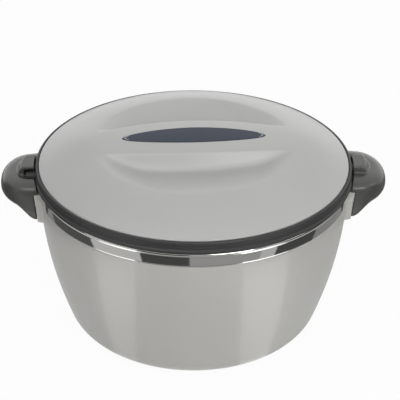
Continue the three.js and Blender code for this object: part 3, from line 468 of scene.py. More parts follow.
def inlaid(name, colour, roughness, line_colour):
    """A plain moulding with a pale line along a pointed oval's border, near its two tips.

    The share of the oval is (|x| / length)^power + (|y| / width)^power. The line shows
    where that share is within half the line's width of its middle and |x| is near a tip.
    """
    material, tree, shader, coords = new_finish(name)
    turn = linked(tree, "VectorRotate", {"rotation_type": "Z_AXIS"}, Vector=coords, Angle=-LID_TURN)
    split = linked(tree, "SeparateXYZ", Vector=turn["Vector"])
    share_x = maths(tree, "DIVIDE", maths(tree, "ABSOLUTE", split["X"]), BADGE.length * MM)
    share_y = maths(tree, "DIVIDE", maths(tree, "ABSOLUTE", split["Y"]), BADGE.width * MM)
    powers = [maths(tree, "POWER", share, BADGE.power) for share in (share_x, share_y)]
    line = maths(tree, "COMPARE", maths(tree, "ADD", *powers), LINE.share, LINE.half)
    at_tips = maths(tree, "GREATER_THAN", share_x, LINE.tips)
    tint = tinted(tree, maths(tree, "MULTIPLY", line, at_tips), colour, line_colour)
    fill(shader, {"Base Color": tint, "Roughness": roughness, "Specular IOR Level": 0.12})
    return material


def steel(name, colour, roughness, rings, bump):
    """Steel: metal whose roughness drifts, with the fine rings of spinning as a bump."""
    material, tree, shader, coords = new_finish(name)
    spun = effect(tree, SPUN, coords, rings)["Height"]
    mask = effect(tree, GRAIN, coords, STEEL_SCALE)["Mask"]
    fill(shader, {"Base Color": drifting(tree, mask, colour, 0.04), "Metallic": 1.0,
                  "Roughness": ranged(tree, mask, roughness * 0.8, roughness * 1.2),
                  "Normal": bumped(tree, spun, bump, SPUN_DEPTH)})
    return material


print("badge of", 2 * BADGE.length, "by", 2 * BADGE.width, "mm")

# %% [markdown]
# ## The finishes of this pot
# A lit surface never shows its own colour, so each base colour was found by laying the render
# beside the photograph. The thin coat on shell, lid and handles adds a sharp, weak shine to
# the soft one, which a single roughness can't do.

# %% Finishes of this pot
FINISHES = {
    "shell": moulded("satin_shell", (0.441, 0.436, 0.412), 0.42, coat=0.6, coat_roughness=0.13),
    "lid_shell": moulded("satin_lid", (0.468, 0.468, 0.462), 0.45,
                         specular=0.42, coat=0.35, coat_roughness=0.25),
    "handle": moulded("dark_handle", (0.053, 0.053, 0.05), 0.48, grain=1400.0, bump=0.06,
                      specular=0.3, coat=0.6, coat_roughness=0.19),
    "ring": moulded("dark_ring", (0.042, 0.042, 0.042), 0.42, grain=1400.0, bump=0.05, specular=0.25),
    "badge": inlaid("slate_badge", (0.05, 0.058, 0.082), 0.45, (0.34, 0.35, 0.37)),
    "seal": moulded("milky_silicone", (0.6, 0.6, 0.58), 0.55),
    "plug": moulded("grey_plug", (0.3, 0.3, 0.29), 0.5),
    "foam": moulded("cast_foam", (0.75, 0.62, 0.36), 0.85, grain=260.0, bump=0.5, spread=0.12),
    "liner": steel("mirror_steel", (0.75, 0.745, 0.718), 0.07, 220.0, 0.05),
    "lid_liner": steel("spun_steel", (0.7, 0.7, 0.69), 0.26, 900.0, 0.3),
    "screw": steel("zinc_screw", (0.62, 0.62, 0.6), 0.3, 700.0, 0.2),
}
print("finishes:", *FINISHES)

# %% [markdown]
# ## Outer shell
# The real shell is one moulding: a tapering bowl with a foot ring, and a flat pad on each
# side that carries a handle. The pads grow out of the wall without a line. They could be
# blocks joined by a boolean, but that would leave a seam, so they are part of the same
# surface: a lathe profile whose radius also depends on the angle.

# %% Sizes and outline of the shell
SHELL = Sizes(top=135.7, step=130.4, rim=134.4, rim_top=142.2, rim_wall=2.1, wall=2.4, belly=4.6)
FOOT = Sizes(outer=89.7, inner=80.0, recess=2.6, recess_radius=77.5, corner=25.3, sweep=1.2566, hole=9.0)
PAD = Sizes(half=33.6, low=112.5, high=140.5, reach=138.4, lean=0.081, behind=136.3, edge=0.4)
PAD_SIDE, PAD_FOOT = (0.3, 1.4), (0.9, 1.6)  # how far each soft edge goes in and out, or down and up
LIP_BEND = 0.93  # the share of the pad's free height at which its top edge starts to round


def shell_outside(corner_steps=24, wall_steps=60):
    """The outside of the bowl: an arc from the foot, then a line to the top plus a belly of
    4t(1 - t) times its height."""
    angle = -math.pi / 2 + np.linspace(0, FOOT.sweep, corner_steps + 1)
    corner = arc(FOOT.outer, FOOT.corner, FOOT.corner, angle)
    r0, z0 = corner[-1]
    pad_share = (PAD.low - 2 - z0) / (SHELL.step - z0)
    below = np.linspace(0, pad_share, wall_steps // 2 + 1)[1:]
    t = np.concatenate([below, np.linspace(pad_share, 1, wall_steps + 1)[1:]])
    belly = SHELL.belly * 4 * t * (1 - t)
    wall = stacked(r0 + (SHELL.top - r0) * t + belly, z0 + (SHELL.step - z0) * t)
    return np.concatenate([corner, wall])


print("points of the shell's outside:", len(shell_outside()))

# %% Outer shell
def pad_angles():
    """Angles once round, crowded where the sides of the pads rise."""
    edge = math.asin(PAD.half / PAD.reach)
    near = np.linspace(-0.012, 0.030, 30)
    marks = np.concatenate([side * (edge + near) for side in (1, -1)])
    marks = np.concatenate([marks, marks + math.pi, full_turn(240)])
    return np.unique(np.round(np.mod(marks, 2 * math.pi), 5))


def pad_width_share(y):
    """One inside a pad's half width and nothing beyond it, with a soft side."""
    return 1 - smoothstep(PAD.half - PAD_SIDE[0], PAD.half + PAD_SIDE[1], np.abs(y))


def pad_face(z, c):
    """The radius of a pad's flat, leaning face at a height and at an angle's cosine."""
    return (PAD.reach - (PAD.high - z) * PAD.lean) / np.abs(c).clip(0.5)


def shell_inside():
    """The rim behind the band, the inside and the underside with the hole for the plug."""
    rim, wall = SHELL.rim, FOOT.recess + SHELL.wall
    return np.array([
        [rim, SHELL.step], [rim, SHELL.rim_top - 0.5], [rim - 0.5, SHELL.rim_top],
        [rim - SHELL.rim_wall, SHELL.rim_top], [rim - SHELL.rim_wall, SHELL.step - 4],
        [SHELL.top - 4.2, 116.0], [130.0, 80.0], [120.0, 40.0], [108.0, 15.0],
        [FOOT.outer, wall], [FOOT.hole, wall], [FOOT.hole, FOOT.recess],
        [FOOT.recess_radius - 0.4, FOOT.recess], [FOOT.recess_radius + 0.3, FOOT.recess - 0.4],
        [FOOT.inner - 0.5, 0.4], [FOOT.inner + 0.4, 0.0],
    ])


def make_shell():
    """The shell's grid: rows are angles, columns run up the outside, over the pad's free
    edge, up the rim behind the band and down the inside."""
    angles = pad_angles()
    c, s = np.cos(angles)[:, None], np.sin(angles)[:, None]
    by_pad = np.abs(c) > 0.9
    r, z = shell_outside().T
    face = pad_face(z, c)
    rise = smoothstep(PAD.low - PAD_FOOT[0], PAD.low + PAD_FOOT[1], z) * pad_width_share(face * s)
    wall_r = r + (face - r) * rise * by_pad
    lip = pad_width_share(PAD.reach * s) * by_pad
    t = np.concatenate([np.linspace(0, LIP_BEND, 12)[1:], [0.97, 0.99, 1.0]])
    lip_z = SHELL.step + (PAD.high - SHELL.step) * lip * t
    ease = 0.5 * np.clip((t - LIP_BEND) / (1 - LIP_BEND), 0, 1) ** 2
    lip_r = SHELL.top + (pad_face(lip_z, c) - ease - SHELL.top) * lip
    behind_r, edge = SHELL.top + (PAD.behind - SHELL.top) * lip, PAD.edge * lip
    behind = np.concatenate([behind_r + edge, behind_r, behind_r], axis=1)
    step_z = np.full_like(lip, SHELL.step)
    behind_z = np.concatenate([lip_z[:, -1:], lip_z[:, -1:] - edge, step_z], axis=1)
    inside = shell_inside() + np.zeros((len(angles), 1, 1))
    line = [stacked(wall_r, z), stacked(lip_r, lip_z), stacked(behind, behind_z), inside]
    radius, height = np.moveaxis(np.concatenate(line, axis=1), 2, 0)
    return grid_piece("pot_shell", stacked(radius * c, radius * s, height))


placed(make_shell(), "base", "shell", "outer_shell")

# %% [markdown]
# ## Steel bowl
# The bowl is drawn from one sheet: a flat floor, a wide corner, a wall, a rolled rim and a
# skirt that drops over the shell's edge as a bright band. A Solidify modifier could give the
# sheet its thickness. Steel shows its form only through what it mirrors, though, so the line
# is offset exactly, and the rim's bead and the band's slight crown are arcs of their own.

# %% Steel bowl
BOWL = Sizes(floor=26.0, floor_radius=77.0, corner=24.0, top_radius=115.0, top=138.8, rim=143.8)
BAND = Sizes(radius=135.9, high=140.8, low=130.8, crown=0.12, bead=1.5, bead_reach=136.7,
             roll=0.9, sheet=0.8)


def offset_line(line, distance):
    """The same line moved to the left of its direction by a distance."""
    step = unit(np.diff(line, axis=0))
    before, after = np.vstack([step[:1], step]), np.vstack([step, step[-1:]])
    along = unit(before + after)
    reach = distance / (along * after).sum(1, keepdims=True)
    return line + np.stack([-along[:, 1], along[:, 0]], 1) * reach


def sheet_profile(line):
    """The line and the same line a sheet's thickness away, closed into one profile."""
    return np.concatenate([line, offset_line(line, -BAND.sheet)[::-1]])


def bowl_line():
    """Floor, corner arc, wall, rim curve, bead, band and its rolled lower edge, outwards."""
    level, radius, bead = BOWL.floor, BOWL.floor_radius, BAND.bead
    drop = math.atan2(BOWL.top_radius - radius - BOWL.corner, BOWL.top)
    floor = stacked(np.linspace(0.05, radius - 1, 12), level)
    turn = np.linspace(-math.pi / 2, -drop, 20)
    corner = arc(radius, level + BOWL.corner, BOWL.corner, turn)
    curve = BOWL.rim - BOWL.top
    turn = np.linspace(math.pi, math.pi / 2, 10)
    rim = arc(BOWL.top_radius + curve, BOWL.top, curve, turn)
    wall = np.linspace(corner[-1], rim[0], 8)[1:-1]
    turn = np.linspace(math.pi / 2, -math.pi / 3.2, 14)
    rolled_bead = arc(BAND.bead_reach - bead, BOWL.rim - bead, bead, turn)
    t = np.linspace(0, 1, 12)
    low = BAND.low + BAND.roll
    crowned = BAND.radius + BAND.crown * np.sin(math.pi * t)
    band = stacked(crowned, BAND.high + (low - BAND.high) * t)
    turn = -np.linspace(0, math.radians(62), 7)[1:]
    roll = arc(BAND.radius - BAND.roll, low, BAND.roll, turn)
    return np.concatenate([floor, corner, wall, rim, rolled_bead, band, roll])


placed(lathe("steel_bowl", sheet_profile(bowl_line()), 288), "base", "liner", "inner_liner")

# %% [markdown]
# ## Handles
# One dark moulding serves both sides. It could be sculpted, but a loft keeps its outlines
# from the front and from above as plain formulas. Its cross-sections are superellipses: boxy
# where it meets the pad, round at the tip.

# %% Sizes of the handles
HANDLE = Sizes(root=137.9, tip=169.1, half=34.3, top=149.0, bottom=112.7, tip_height=134.5)
LOWER = Sizes(rise=11.5, share=0.56)
FALL = Sizes(top=3.55, low=2.25, side=2.26)  # how late each side falls towards the tip
BOXY, ROUND, CROWD = 6.0, 2.2, 1.8
HOLLOW = Sizes(wall=2.8, root_wall=5.8, ceiling=143.6)
BOSS = Sizes(radius=3.8, height=128.0, start=140.0, end=147.8, aside=20.0)
HOOD = Sizes(centre=121.0, top_radius=29.9, foot_radius=35.0, foot=146.6, top=155.0,
             closed=14.0, spread=1.6, mouth=9.6, edge=1.5, edge_from=0.83)
WAY = Sizes(floor=147.2, roof=152.3, radius=148.3, end=-11.8, front=18.3, bend=2.5,
            root=131.9, pocket=152.4, corner=6.5)
SWING_RADIUS, CUT_TOP = 139.6, 165.0  # the lid's room beside the handle, and upwards
CUT_FROM, PAD_CUT = (120.0, 105.0), 45.0  # the pad's room: least reach, least height, half width
JOINT_GAP = 0.3
print("handle reaches", round(HANDLE.tip - HANDLE.root, 1), "mm out and is", 2 * HANDLE.half, "mm wide")

# %% Handle form and finger space
def fall(share, power):
    """One at the root and nothing at the tip: (1 - s^p)^(1/p)."""
    return (1 - np.clip(share, 0, 1) ** power) ** (1 / power)


def lower_edge(share):
    """The lower edge rises away from the body in a soft S."""
    return HANDLE.bottom + LOWER.rise * smoothstep(0, LOWER.share, share)


def crowded(start, tip, last, count):
    """Reaches from start towards the tip, closer together near it; last is the share of the
    way that is left at the end."""
    return tip - (tip - start) * np.linspace(1, last, count) ** CROWD


def sections(reach, share, half_width, low, high, floor=None):
    """Rows of superellipse loops, whose power goes from boxy at the root to round at the
    tip; with a floor, their lower halves drop straight to it."""
    angle = full_turn(96)
    power = (BOXY - (BOXY - ROUND) * share)[:, None]
    c, s = np.cos(angle), np.sin(angle)
    y = half_width[:, None] * np.sign(c) * np.abs(c) ** (2 / power)
    z = (high + low)[:, None] / 2 + (high - low)[:, None] / 2 * np.sign(s) * np.abs(s) ** (2 / power)
    if floor is not None:
        z = np.where(s < -1e-6, floor, z)
    return stacked(reach[:, None], y, z)


def handle_outside():
    """The outer form, with one more section inside the pad's plane."""
    middle = HANDLE.tip_height
    reach = crowded(HANDLE.root, HANDLE.tip, 0, 48)
    share = (reach - HANDLE.root) / (HANDLE.tip - HANDLE.root)
    high = middle + (HANDLE.top - middle) * fall(share, FALL.top)
    low = middle - (middle - lower_edge(share)) * fall(share, FALL.low)
    rows = sections(reach, share, HANDLE.half * fall(share, FALL.side), low, high)
    root = rows[:1] - [6.0, 0, 0]
    return loft("handle_form", np.concatenate([root, rows]))


def handle_hollow():
    """The finger space, open below."""
    middle, tip = HANDLE.tip_height, HANDLE.tip - HOLLOW.wall
    reach = crowded(HANDLE.root + HOLLOW.root_wall, tip, 0.03, 32)
    share = (reach - HANDLE.root) / (tip - HANDLE.root)
    high = middle + (HOLLOW.ceiling - middle) * fall(share, FALL.top)
    low = np.minimum(lower_edge(share), high - HOLLOW.wall)
    half = (HANDLE.half - HOLLOW.wall) * fall(share, FALL.side)
    return loft("handle_space", sections(reach, share, half, low, high, HANDLE.bottom - 4))


print("at nine tenths of its reach the handle has", fall(0.9, FALL.side).round(2), "of its width")

# %% [markdown]
# ## Hood and the lug's way
# A low hood stands on each handle with a mouth on one side. The lid's lug drops into the
# pocket in front of the mouth and turns in under the hood. The hood is a solid slice of a
# cone, and the lug's way is cut out of it afterwards, so that its running gap is the same
# all along and the hood's walls are what is left.

# %% Hood, pocket, way and bosses
def hood_form():
    """A slice of a low cone: each level is an arc between the closed end and the mouth. The
    last levels draw in by a quarter circle, 1 less the root of 1 - t squared."""
    turn = np.linspace(0, 1, 6) * math.pi / 2
    start = HOOD.edge_from
    level = np.concatenate([np.linspace(0, start, 10)[:-1], start + (1 - start) * np.sin(turn)])
    draw_in = np.concatenate([np.zeros(9), HOOD.edge * (1 - np.cos(turn))])
    z = HOOD.foot + (HOOD.top - HOOD.foot) * level
    radius = HOOD.foot_radius + (HOOD.top_radius - HOOD.foot_radius) * level - draw_in
    closed = -(HOOD.closed + HOOD.spread * (1 - level)) + 0.7 * draw_in
    mouth = HOOD.mouth - 0.5 * draw_in
    z, closed, width = z[:, None], closed[:, None], (mouth - closed)[:, None]
    y = closed + width * np.linspace(0, 1, 40)
    front = stacked(HOOD.centre + np.sqrt(radius[:, None] ** 2 - y ** 2), y, z)
    back = stacked(HOOD.centre, closed + width * np.linspace(1, 0, 20)[1:-1], z)
    return loft("hood_form", np.concatenate([front, back], axis=1))


def way_outline(back, front):
    """The plan of the lug's way between two widths, with a rounded outer corner."""
    y = np.linspace(back, front - WAY.bend, 12)
    outer = stacked(np.sqrt(WAY.radius ** 2 - y ** 2), y)
    turn = np.linspace(0, math.pi / 2, 6)
    corner = arc(outer[-1, 0] - WAY.bend, front - WAY.bend, WAY.bend, turn)
    return np.concatenate([[[WAY.root, back]], outer[:-1], corner, [[WAY.root, front]]])


def pocket_outline():
    """The plan of the pocket in front of the mouth, with a round outer corner."""
    bend = WAY.corner
    corner = arc(WAY.pocket - bend, WAY.front - bend, bend, np.linspace(0, math.pi / 2, 14))
    ends = [[WAY.root, HOOD.mouth], [WAY.pocket, HOOD.mouth]]
    return np.concatenate([ends, corner, [[WAY.root, WAY.front]]])


def boss(y):
    """A round boss along X that takes a screw, inside the finger space."""
    y, z = arc(y, BOSS.height, BOSS.radius, full_turn(32)).T
    return loft("boss", stacked(np.array([[BOSS.start], [BOSS.end]]), y, z))


print("the lug's way is", round(WAY.roof - WAY.floor, 1), "mm high")

# %% [markdown]
# ## The two handles
# The forms are joined first and cut afterwards, so that no later form fills a cut again. The
# left handle is the right one turned half round and not mirrored, because a turning lid
# needs both mouths to face the same way round the pot.

# %% The two handles
def make_handle(side):
    """One handle on the +X side, or half a turn round from it."""
    piece = handle_outside()
    shaped(piece, [handle_hollow()], "DIFFERENCE")
    shaped(piece, [hood_form(), boss(-BOSS.aside), boss(BOSS.aside)], "UNION")
    open_top = prism("open", pocket_outline(), WAY.floor, CUT_TOP)
    tunnel = prism("tunnel", way_outline(WAY.end, WAY.front), WAY.floor, WAY.roof)
    pad_top, (inner, foot) = PAD.high + JOINT_GAP, CUT_FROM
    low_x = PAD.reach - (PAD.high - foot) * PAD.lean + JOINT_GAP
    high_x = PAD.reach + JOINT_GAP * PAD.lean + JOINT_GAP
    x, z = np.array([[inner, foot], [low_x, foot], [high_x, pad_top], [inner, pad_top]]).T
    pad_side = loft("pad_side", stacked(x, np.array([[-PAD_CUT], [PAD_CUT]]), z))
    swing = prism("swing", arc(0, 0, SWING_RADIUS, full_turn(160)), pad_top - 0.01, CUT_TOP)
    shaped(piece, [open_top, tunnel, pad_side, swing], "DIFFERENCE")
    soften(piece)
    piece.name = f"grip_{side}"
    if side == "left":
        piece.data.transform(Matrix.Rotation(math.pi, 4, "Z"))
    return piece


for side in ("right", "left"):
    placed(make_handle(side), "base", "handle", f"handle_{side}")

# %% [markdown]
# ## Lid dome
# The dome is nearly flat in the middle and curls down at its edge, so that from the camera
# its own shoulder hides the ring at the back. A beam that bends less than the dome lies
# across it; two finger dishes sunk on both sides leave it as a bridge to hold. The dishes
# could be cut by booleans, but where one meets the bridge's wall the mould has a wide fillet,
# so the lid is one sheet of heights, joined with soft maxima and minima. The dome sits a
# little turned against the ring's lugs.

# %% Heights of the lid
DOME = Sizes(crown=178.4, bow=13.45, curl=9.0, radius=135.3, edge=1.2, under=3.25,
             lip=152.3, skirt=132.2, skirt_low=148.7, skirt_wall=2.5)
BEAM = Sizes(crown=180.7, drop=5.1, reach=88.0, width=34.0, fade=84.0, gone=128.0)
DISH = Sizes(radius=87.6, floor=163.8, power=3.0, ease=1.5, end_share=0.5, lean=26.0, draft=3.6,
             fillet=0.4, foot=6.5, sink=0.3, border=0.9)
BRIDGE = Sizes(half=28.8, waist=13.8, draft=0.42, top=181.0)


def dome_height(radius):
    """Crown less a bow that grows with the square of the share of the radius and a curl that
    grows with its sixth power."""
    share = radius / DOME.radius
    return DOME.crown - DOME.bow * share ** 2 - DOME.curl * share ** 6


def lid_top(x, y):
    """The dome raised to the beam near the X axis. The beam drops by the square of x; its
    weight is exp(-(y / width)^2), and it fades out towards the dome's edge."""
    dome = dome_height(np.hypot(x, y))
    beam = BEAM.crown - BEAM.drop * (x / BEAM.reach) ** 2
    weight = np.exp(-((y / BEAM.width) ** 2)) * (1 - smoothstep(BEAM.fade, BEAM.gone, np.abs(x)))
    return dome + (beam - dome) * weight


def lid_height(x, y):
    """The lid's top, cut down to the dish inside its radius, except where the bridge stands.

    The bridge's side is a cone-like wall: its distance outside two large arcs, divided by
    the draft, is how far it has dropped below the bridge's top. The dish's floor rises by
    1 - (1 - s^power)^ease of its depth, s being the share of its reach: flat in the middle,
    level again at the border. It is longer than round and leans to one side, so at that end a
    sloping wall is left inside the round border.
    """
    radius = np.hypot(x, y)
    reach = DISH.radius
    big = (reach ** 2 + BRIDGE.waist ** 2) / (2 * BRIDGE.waist)
    outside = np.hypot(x, np.abs(y) + big - BRIDGE.half) - big
    wall = BRIDGE.top - outside / BRIDGE.draft
    out = reach / np.maximum(radius, 1.0)
    rim = lid_top(x * out, y * out)
    across = np.hypot((x - DISH.lean * np.sign(y)) * DISH.end_share, y)
    rise = np.clip(1 - (across / reach) ** DISH.power, 0, 1)
    floor = DISH.floor + (rim - DISH.floor) * (1 - rise ** DISH.ease)
    end = rim - (reach - radius) / DISH.draft
    dish = soft_max(soft_max(floor, end, DISH.fillet) - DISH.sink, wall, DISH.foot)
    return soft_min(lid_top(x, y), dish, DISH.border)


print("bridge", lid_top(0.0, 0.0).round(1), "mm high, dish", lid_height(0.0, 60.0).round(1), "mm")

# %% Lid dome
def make_lid():
    """One closed grid: out over the top, round the edge, and back under to the middle."""
    angles = full_turn(480)
    steps = [(0.02, 22, 8), (22, 98, 102), (98, 133.8, 14)]
    r = np.unique(np.concatenate([np.linspace(*step) for step in steps]))
    c, s = np.cos(angles)[:, None], np.sin(angles)[:, None]
    top = lid_height(*turned(r * c, r * s, -LID_TURN))
    edge, a = DOME.edge, np.linspace(math.radians(60), 0, 7)
    edge_r = DOME.radius - edge + edge * np.cos(a)
    edge_z = dome_height(edge_r[0]) - edge * math.sin(a[0]) + edge * np.sin(a)
    skirt_inner = DOME.skirt - DOME.skirt_wall
    under = np.array([
        [DOME.radius, DOME.lip], [DOME.skirt, DOME.lip],
        [DOME.skirt, DOME.skirt_low], [skirt_inner, DOME.skirt_low],
    ])
    inner_r = np.linspace(skirt_inner, 0.02, 30)
    inner_z = lid_height(*turned(inner_r * c, inner_r * s, -LID_TURN)) - DOME.under
    line_r = np.concatenate([r, edge_r, under[:, 0], inner_r])
    side = np.concatenate([edge_z, under[:, 1]]) + np.zeros_like(c)
    height = np.concatenate([top, side, inner_z], axis=1)
    return grid_piece("lid_dome", stacked(line_r * c, line_r * s, height))


placed(make_lid(), "lid", "lid_shell", "lid_cover")

# %% [markdown]
# ## Badge
# A thin dark plate, pointed at both ends, lies on the bridge and follows its crown. A flat
# plate could be pressed on by a Shrinkwrap modifier. Reading its heights from the bridge's
# own formula fits exactly, and the bevel keeps its width all round.

# %% Badge
BADGE_FLAT = Sizes(inset=1.9, lift=0.42, rings=14)
BADGE_EDGE = [  # share of the oval, inset and height above the bridge
    [1, 1.7, 0.44], [1, 1.3, 0.46], [1, 0.8, 0.38], [1, 0.4, 0.28], [1, 0.12, 0.16], [1, 0, 0.05],
    [1, 0, -0.5], [1, 0.1, -0.7], [0.5, 0.1, -0.8], [0, 0.1, -0.8],
]


def make_badge():
    """Rings of one pointed oval from the middle out, over the bevel and back underneath."""
    angle = full_turn(256)[:, None]
    c, s = np.cos(angle), np.sin(angle)
    shape_x = np.sign(c) * np.abs(c) ** (2 / BADGE.power)
    shape_y = np.sign(s) * np.abs(s) ** (2 / BADGE.power)
    middle = np.linspace(0, 1, BADGE_FLAT.rings)
    flat = [[share, BADGE_FLAT.inset, BADGE_FLAT.lift] for share in middle]
    share, inset, lift = np.array(flat + BADGE_EDGE).T[:, None]
    x = shape_x * share * (BADGE.length - inset)
    y = shape_y * share * (BADGE.width - inset)
    return grid_piece("bridge_badge", stacked(*turned(x, y, LID_TURN), lid_top(x, y) + lift))


placed(make_badge(), "lid", "badge", "lid_badge")

# %% [markdown]
# ## Locking ring
# The ring frames the dome: a rounded bead at the top, a wall, and a flare at the foot that
# closes down on the steel rim. It is round, so it is a lathe from its profile. Two lugs stand
# out of it, and a boolean joins them to it, because they are no part of the profile.

# %% Locking ring
RING_PROFILE = [
    [127.8, 144.2, 0.3], [136.6, 144.2, 0.6], [139.2, 145.7, 0.4], [139.2, 147.3, 0.5], [137.8, 148.4, 0.5],
    [137.8, 151.9, 0.4], [138.3, 152.7, 0.6], [138.3, 154.4, 1.1], [137.5, 155.7, 0.9], [136.1, 155.7, 0.5],
    [135.6, 154.9, 0.3], [135.6, 152.0, 0.2], [132.5, 152.0, 0.2], [132.5, 147.2, 0.2], [127.8, 147.2, 0.3],
]
LUG = Sizes(root=135.5, near=10.2, far=17.4, reach=147.2, bend=1.6, low=147.7, high=151.1)
LUG_EDGE = [[0.0, 0.6], [0.2, 0.2], [0.6, 0.0]]  # height from the face, and how far drawn in


def lug_form(name, side):
    """One lug: a rounded plan outline given a height, half a turn round for the left one."""
    end = math.sqrt(LUG.reach ** 2 - LUG.far ** 2)
    corners = [[LUG.root, LUG.near, 0.01], [end, LUG.near, LUG.bend],
               [end, LUG.far, LUG.bend], [LUG.root, LUG.far, 0.01]]
    outline = rounded(corners, 6) * side
    up, inset = np.array(LUG_EDGE).T
    levels = np.concatenate([LUG.low + up, (LUG.high - up)[::-1]])[:, None]
    shrink = 1 - np.concatenate([inset, inset[::-1]])[:, None, None] / 4
    middle = outline.mean(0)
    x, y = np.moveaxis(middle + (outline - middle) * shrink, 2, 0)
    return loft(name, stacked(x, y, levels))


def make_ring():
    """The turned ring joined with its two lugs."""
    ring = lathe("locking_ring", rounded(RING_PROFILE, 5, 0.2), 288)
    return shaped(ring, [lug_form("lug_a", 1), lug_form("lug_b", -1)], "UNION")


placed(make_ring(), "lid", "ring", "lid_ring")

# %% [markdown]
# ## Under the lid, and under the pot
# Lifted, the lid shows a spun steel pan and a silicone seal; turned over, the pot shows the
# plug in its base. All three are round, so each is a lathe from a short profile. The foam,
# screws and washers are never seen from outside. They stay as the CAD made them and only
# take a finish.

# %% Pan, seal and plug
PAN_LINE = [
    [0.05, 139.6], [60, 139.6], [106, 139.6], [108.6, 139.75], [110.6, 140.6], [112.0, 142.4],
    [114.4, 145.6], [115.6, 147.0], [117.2, 147.9], [119.4, 148.3], [131.3, 148.3],
]
SEAL_PROFILE = [
    [118.6, 147.2, 0.4], [118.6, 145.5, 0.9], [121.0, 144.1, 1.0],
    [124.8, 144.1, 1.0], [127.2, 145.5, 0.9], [127.2, 147.2, 0.4],
]
PLUG_PROFILE = [
    [0.02, 1.2, 0.01], [12.0, 1.2, 0.5], [12.0, 2.3, 0.3],
    [8.7, 2.3, 0.1], [8.7, 5.0, 0.3], [0.02, 5.0, 0.01],
]

placed(lathe("lid_pan", sheet_profile(np.array(PAN_LINE))), "lid", "lid_liner", "lid_liner")
placed(lathe("rim_seal", rounded(SEAL_PROFILE)), "seal", "seal", "lid_seal")
placed(lathe("base_plug", rounded(PLUG_PROFILE), 64), "base", "plug", "foam_plug")

# %% Finishes for the CAD pieces that stay
KINDS = {"insulation": "foam", "screw": "screw", "washer": "screw"}
for name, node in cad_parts.items():
    for word, kind in KINDS.items():
        if word in name:
            for material_slot in node.material_slots:
                material_slot.material = FINISHES[kind]

# %% [markdown]
# ## Studio
# The pot stands on white, with nothing behind it. A plain white world would light it flat, so
# floor and sky are white only to the camera and to reflections. The sky's own light on the
# pot is weaker than its look, and the floor keeps a faint shadow.

# %% Floor and sky
FLOOR = Sizes(reach=4000.0, colour=(0.86, 0.86, 0.86, 1), glow_share=0.95)
SKY_LIGHT, WHITE = 0.34, (1, 1, 1, 1)


def background_share(tree):
    """One for camera, glossy and transmission rays, and nothing for light that bounces."""
    rays = linked(tree, "LightPath")
    seen = maths(tree, "MAXIMUM", rays["Is Camera Ray"], rays["Is Glossy Ray"])
    return maths(tree, "MAXIMUM", seen, rays["Is Transmission Ray"])


def mixed_into(tree, output, share, first, second):
    """An output's surface that goes from the first shader to the second with a share."""
    mix = linked(tree, "MixShader", i0=share, i1=first, i2=second)
    fill(tree.nodes[output], {"Surface": mix["Shader"]})


def make_floor():
    """A wide pale disc whose look to the camera is mostly plain white."""
    rings = stacked(np.linspace(0.01, FLOOR.reach, 3), 0.0)
    floor = grid_piece("floor", lathe_points(rings, full_turn(64)), wrap_columns=False)
    material, tree = new_material("white_floor")
    shader = tree.nodes["Principled BSDF"]
    fill(shader, {"Base Color": FLOOR.colour, "Roughness": 0.8, "Specular IOR Level": 0.1})
    glow = linked(tree, "Emission", Strength=1.0)["Emission"]
    share = maths(tree, "MULTIPLY", background_share(tree), FLOOR.glow_share)
    mixed_into(tree, "Material Output", share, shader.outputs["BSDF"], glow)
    floor.data.materials.append(material)
    return floor


def make_sky():
    """White to the camera, and an even soft light to the rest."""
    world = bpy.data.worlds.new("studio")
    bpy.context.scene.world = world
    world.use_nodes = True
    tree = world.node_tree
    light = tree.nodes["Background"]
    fill(light, {"Color": WHITE, "Strength": SKY_LIGHT})
    white = linked(tree, "Background", Color=WHITE, Strength=1.0)["Background"]
    mixed_into(tree, "World Output", background_share(tree), light.outputs["Background"], white)


floor = make_floor()
make_sky()
print("floor of", len(floor.data.polygons), "faces, sky light", SKY_LIGHT)

# %% [markdown]
# ## Lamps
# Five broad soft lamps: the key in front to the right, one in front to the left, one high on
# the left, one behind and a weak one on the right. Small lamps would draw hard spots on the
# coat, and broad ones give the soft bands of a photographer's boxes. The front left one and
# the one behind only light the pot; mirrored, they would draw white lines on the bead.

# %% Lamps
LAMPS = [  # name, azimuth, elevation, power, mirrored in the pot
    ["key", 25, 26, 6.5, True], ["front", -18, 27, 3.0, False], ["right", 80, 36, 1.9, True],
    ["left", -35, 58, 3.9, True], ["back", 175, 29, 4.4, False],
]
LAMP_AWAY, LAMP_SIZE, LAMP_LIFT, LAMP_AIM = 1500.0, 700.0, 80.0, 90.0


def lamp(name, azimuth, elevation, power, glossy):
    """A square soft lamp on a sphere round the pot; azimuth 0 is the camera's side and
    counts to the right."""
    a, e = math.radians(azimuth), math.radians(elevation)
    away = Vector((math.sin(a) * math.cos(e), -math.cos(a) * math.cos(e), math.sin(e)))
    data = bpy.data.lights.new(name, "AREA")
    data.shape, data.size, data.energy = "SQUARE", LAMP_SIZE * MM, power
    light = in_scene(name, data)
    light.location = (away * LAMP_AWAY + Vector((0, 0, LAMP_LIFT))) * MM
    aim = Vector((0, 0, LAMP_AIM)) * MM - light.location
    light.rotation_euler = aim.to_track_quat("-Z", "Y").to_euler()
    light.visible_glossy = glossy


for row in LAMPS:
    lamp(*row)
print("lamps:", *[row[0] for row in LAMPS])

# %% [markdown]
# ## Reflection cards
# A satin wall and a polished band get their character from what lies in front of them, so
# cards are laid out for reflections only: a fan of grey and black strips for the steel,
# standing up at the far end for its bead, five cards for the wall that glow less towards its
# foot, and a low bright one behind for the lid's far edge. Cards could be pushed about by
# hand. Here each card's outline is worked out backwards, by reflecting the camera's rays, so
# its edges fall where the photograph shows them.

# %% Sizes of the cards
def at_angle(degrees):
    """A card's side at one angle round the pot."""
    return lambda radius: degrees


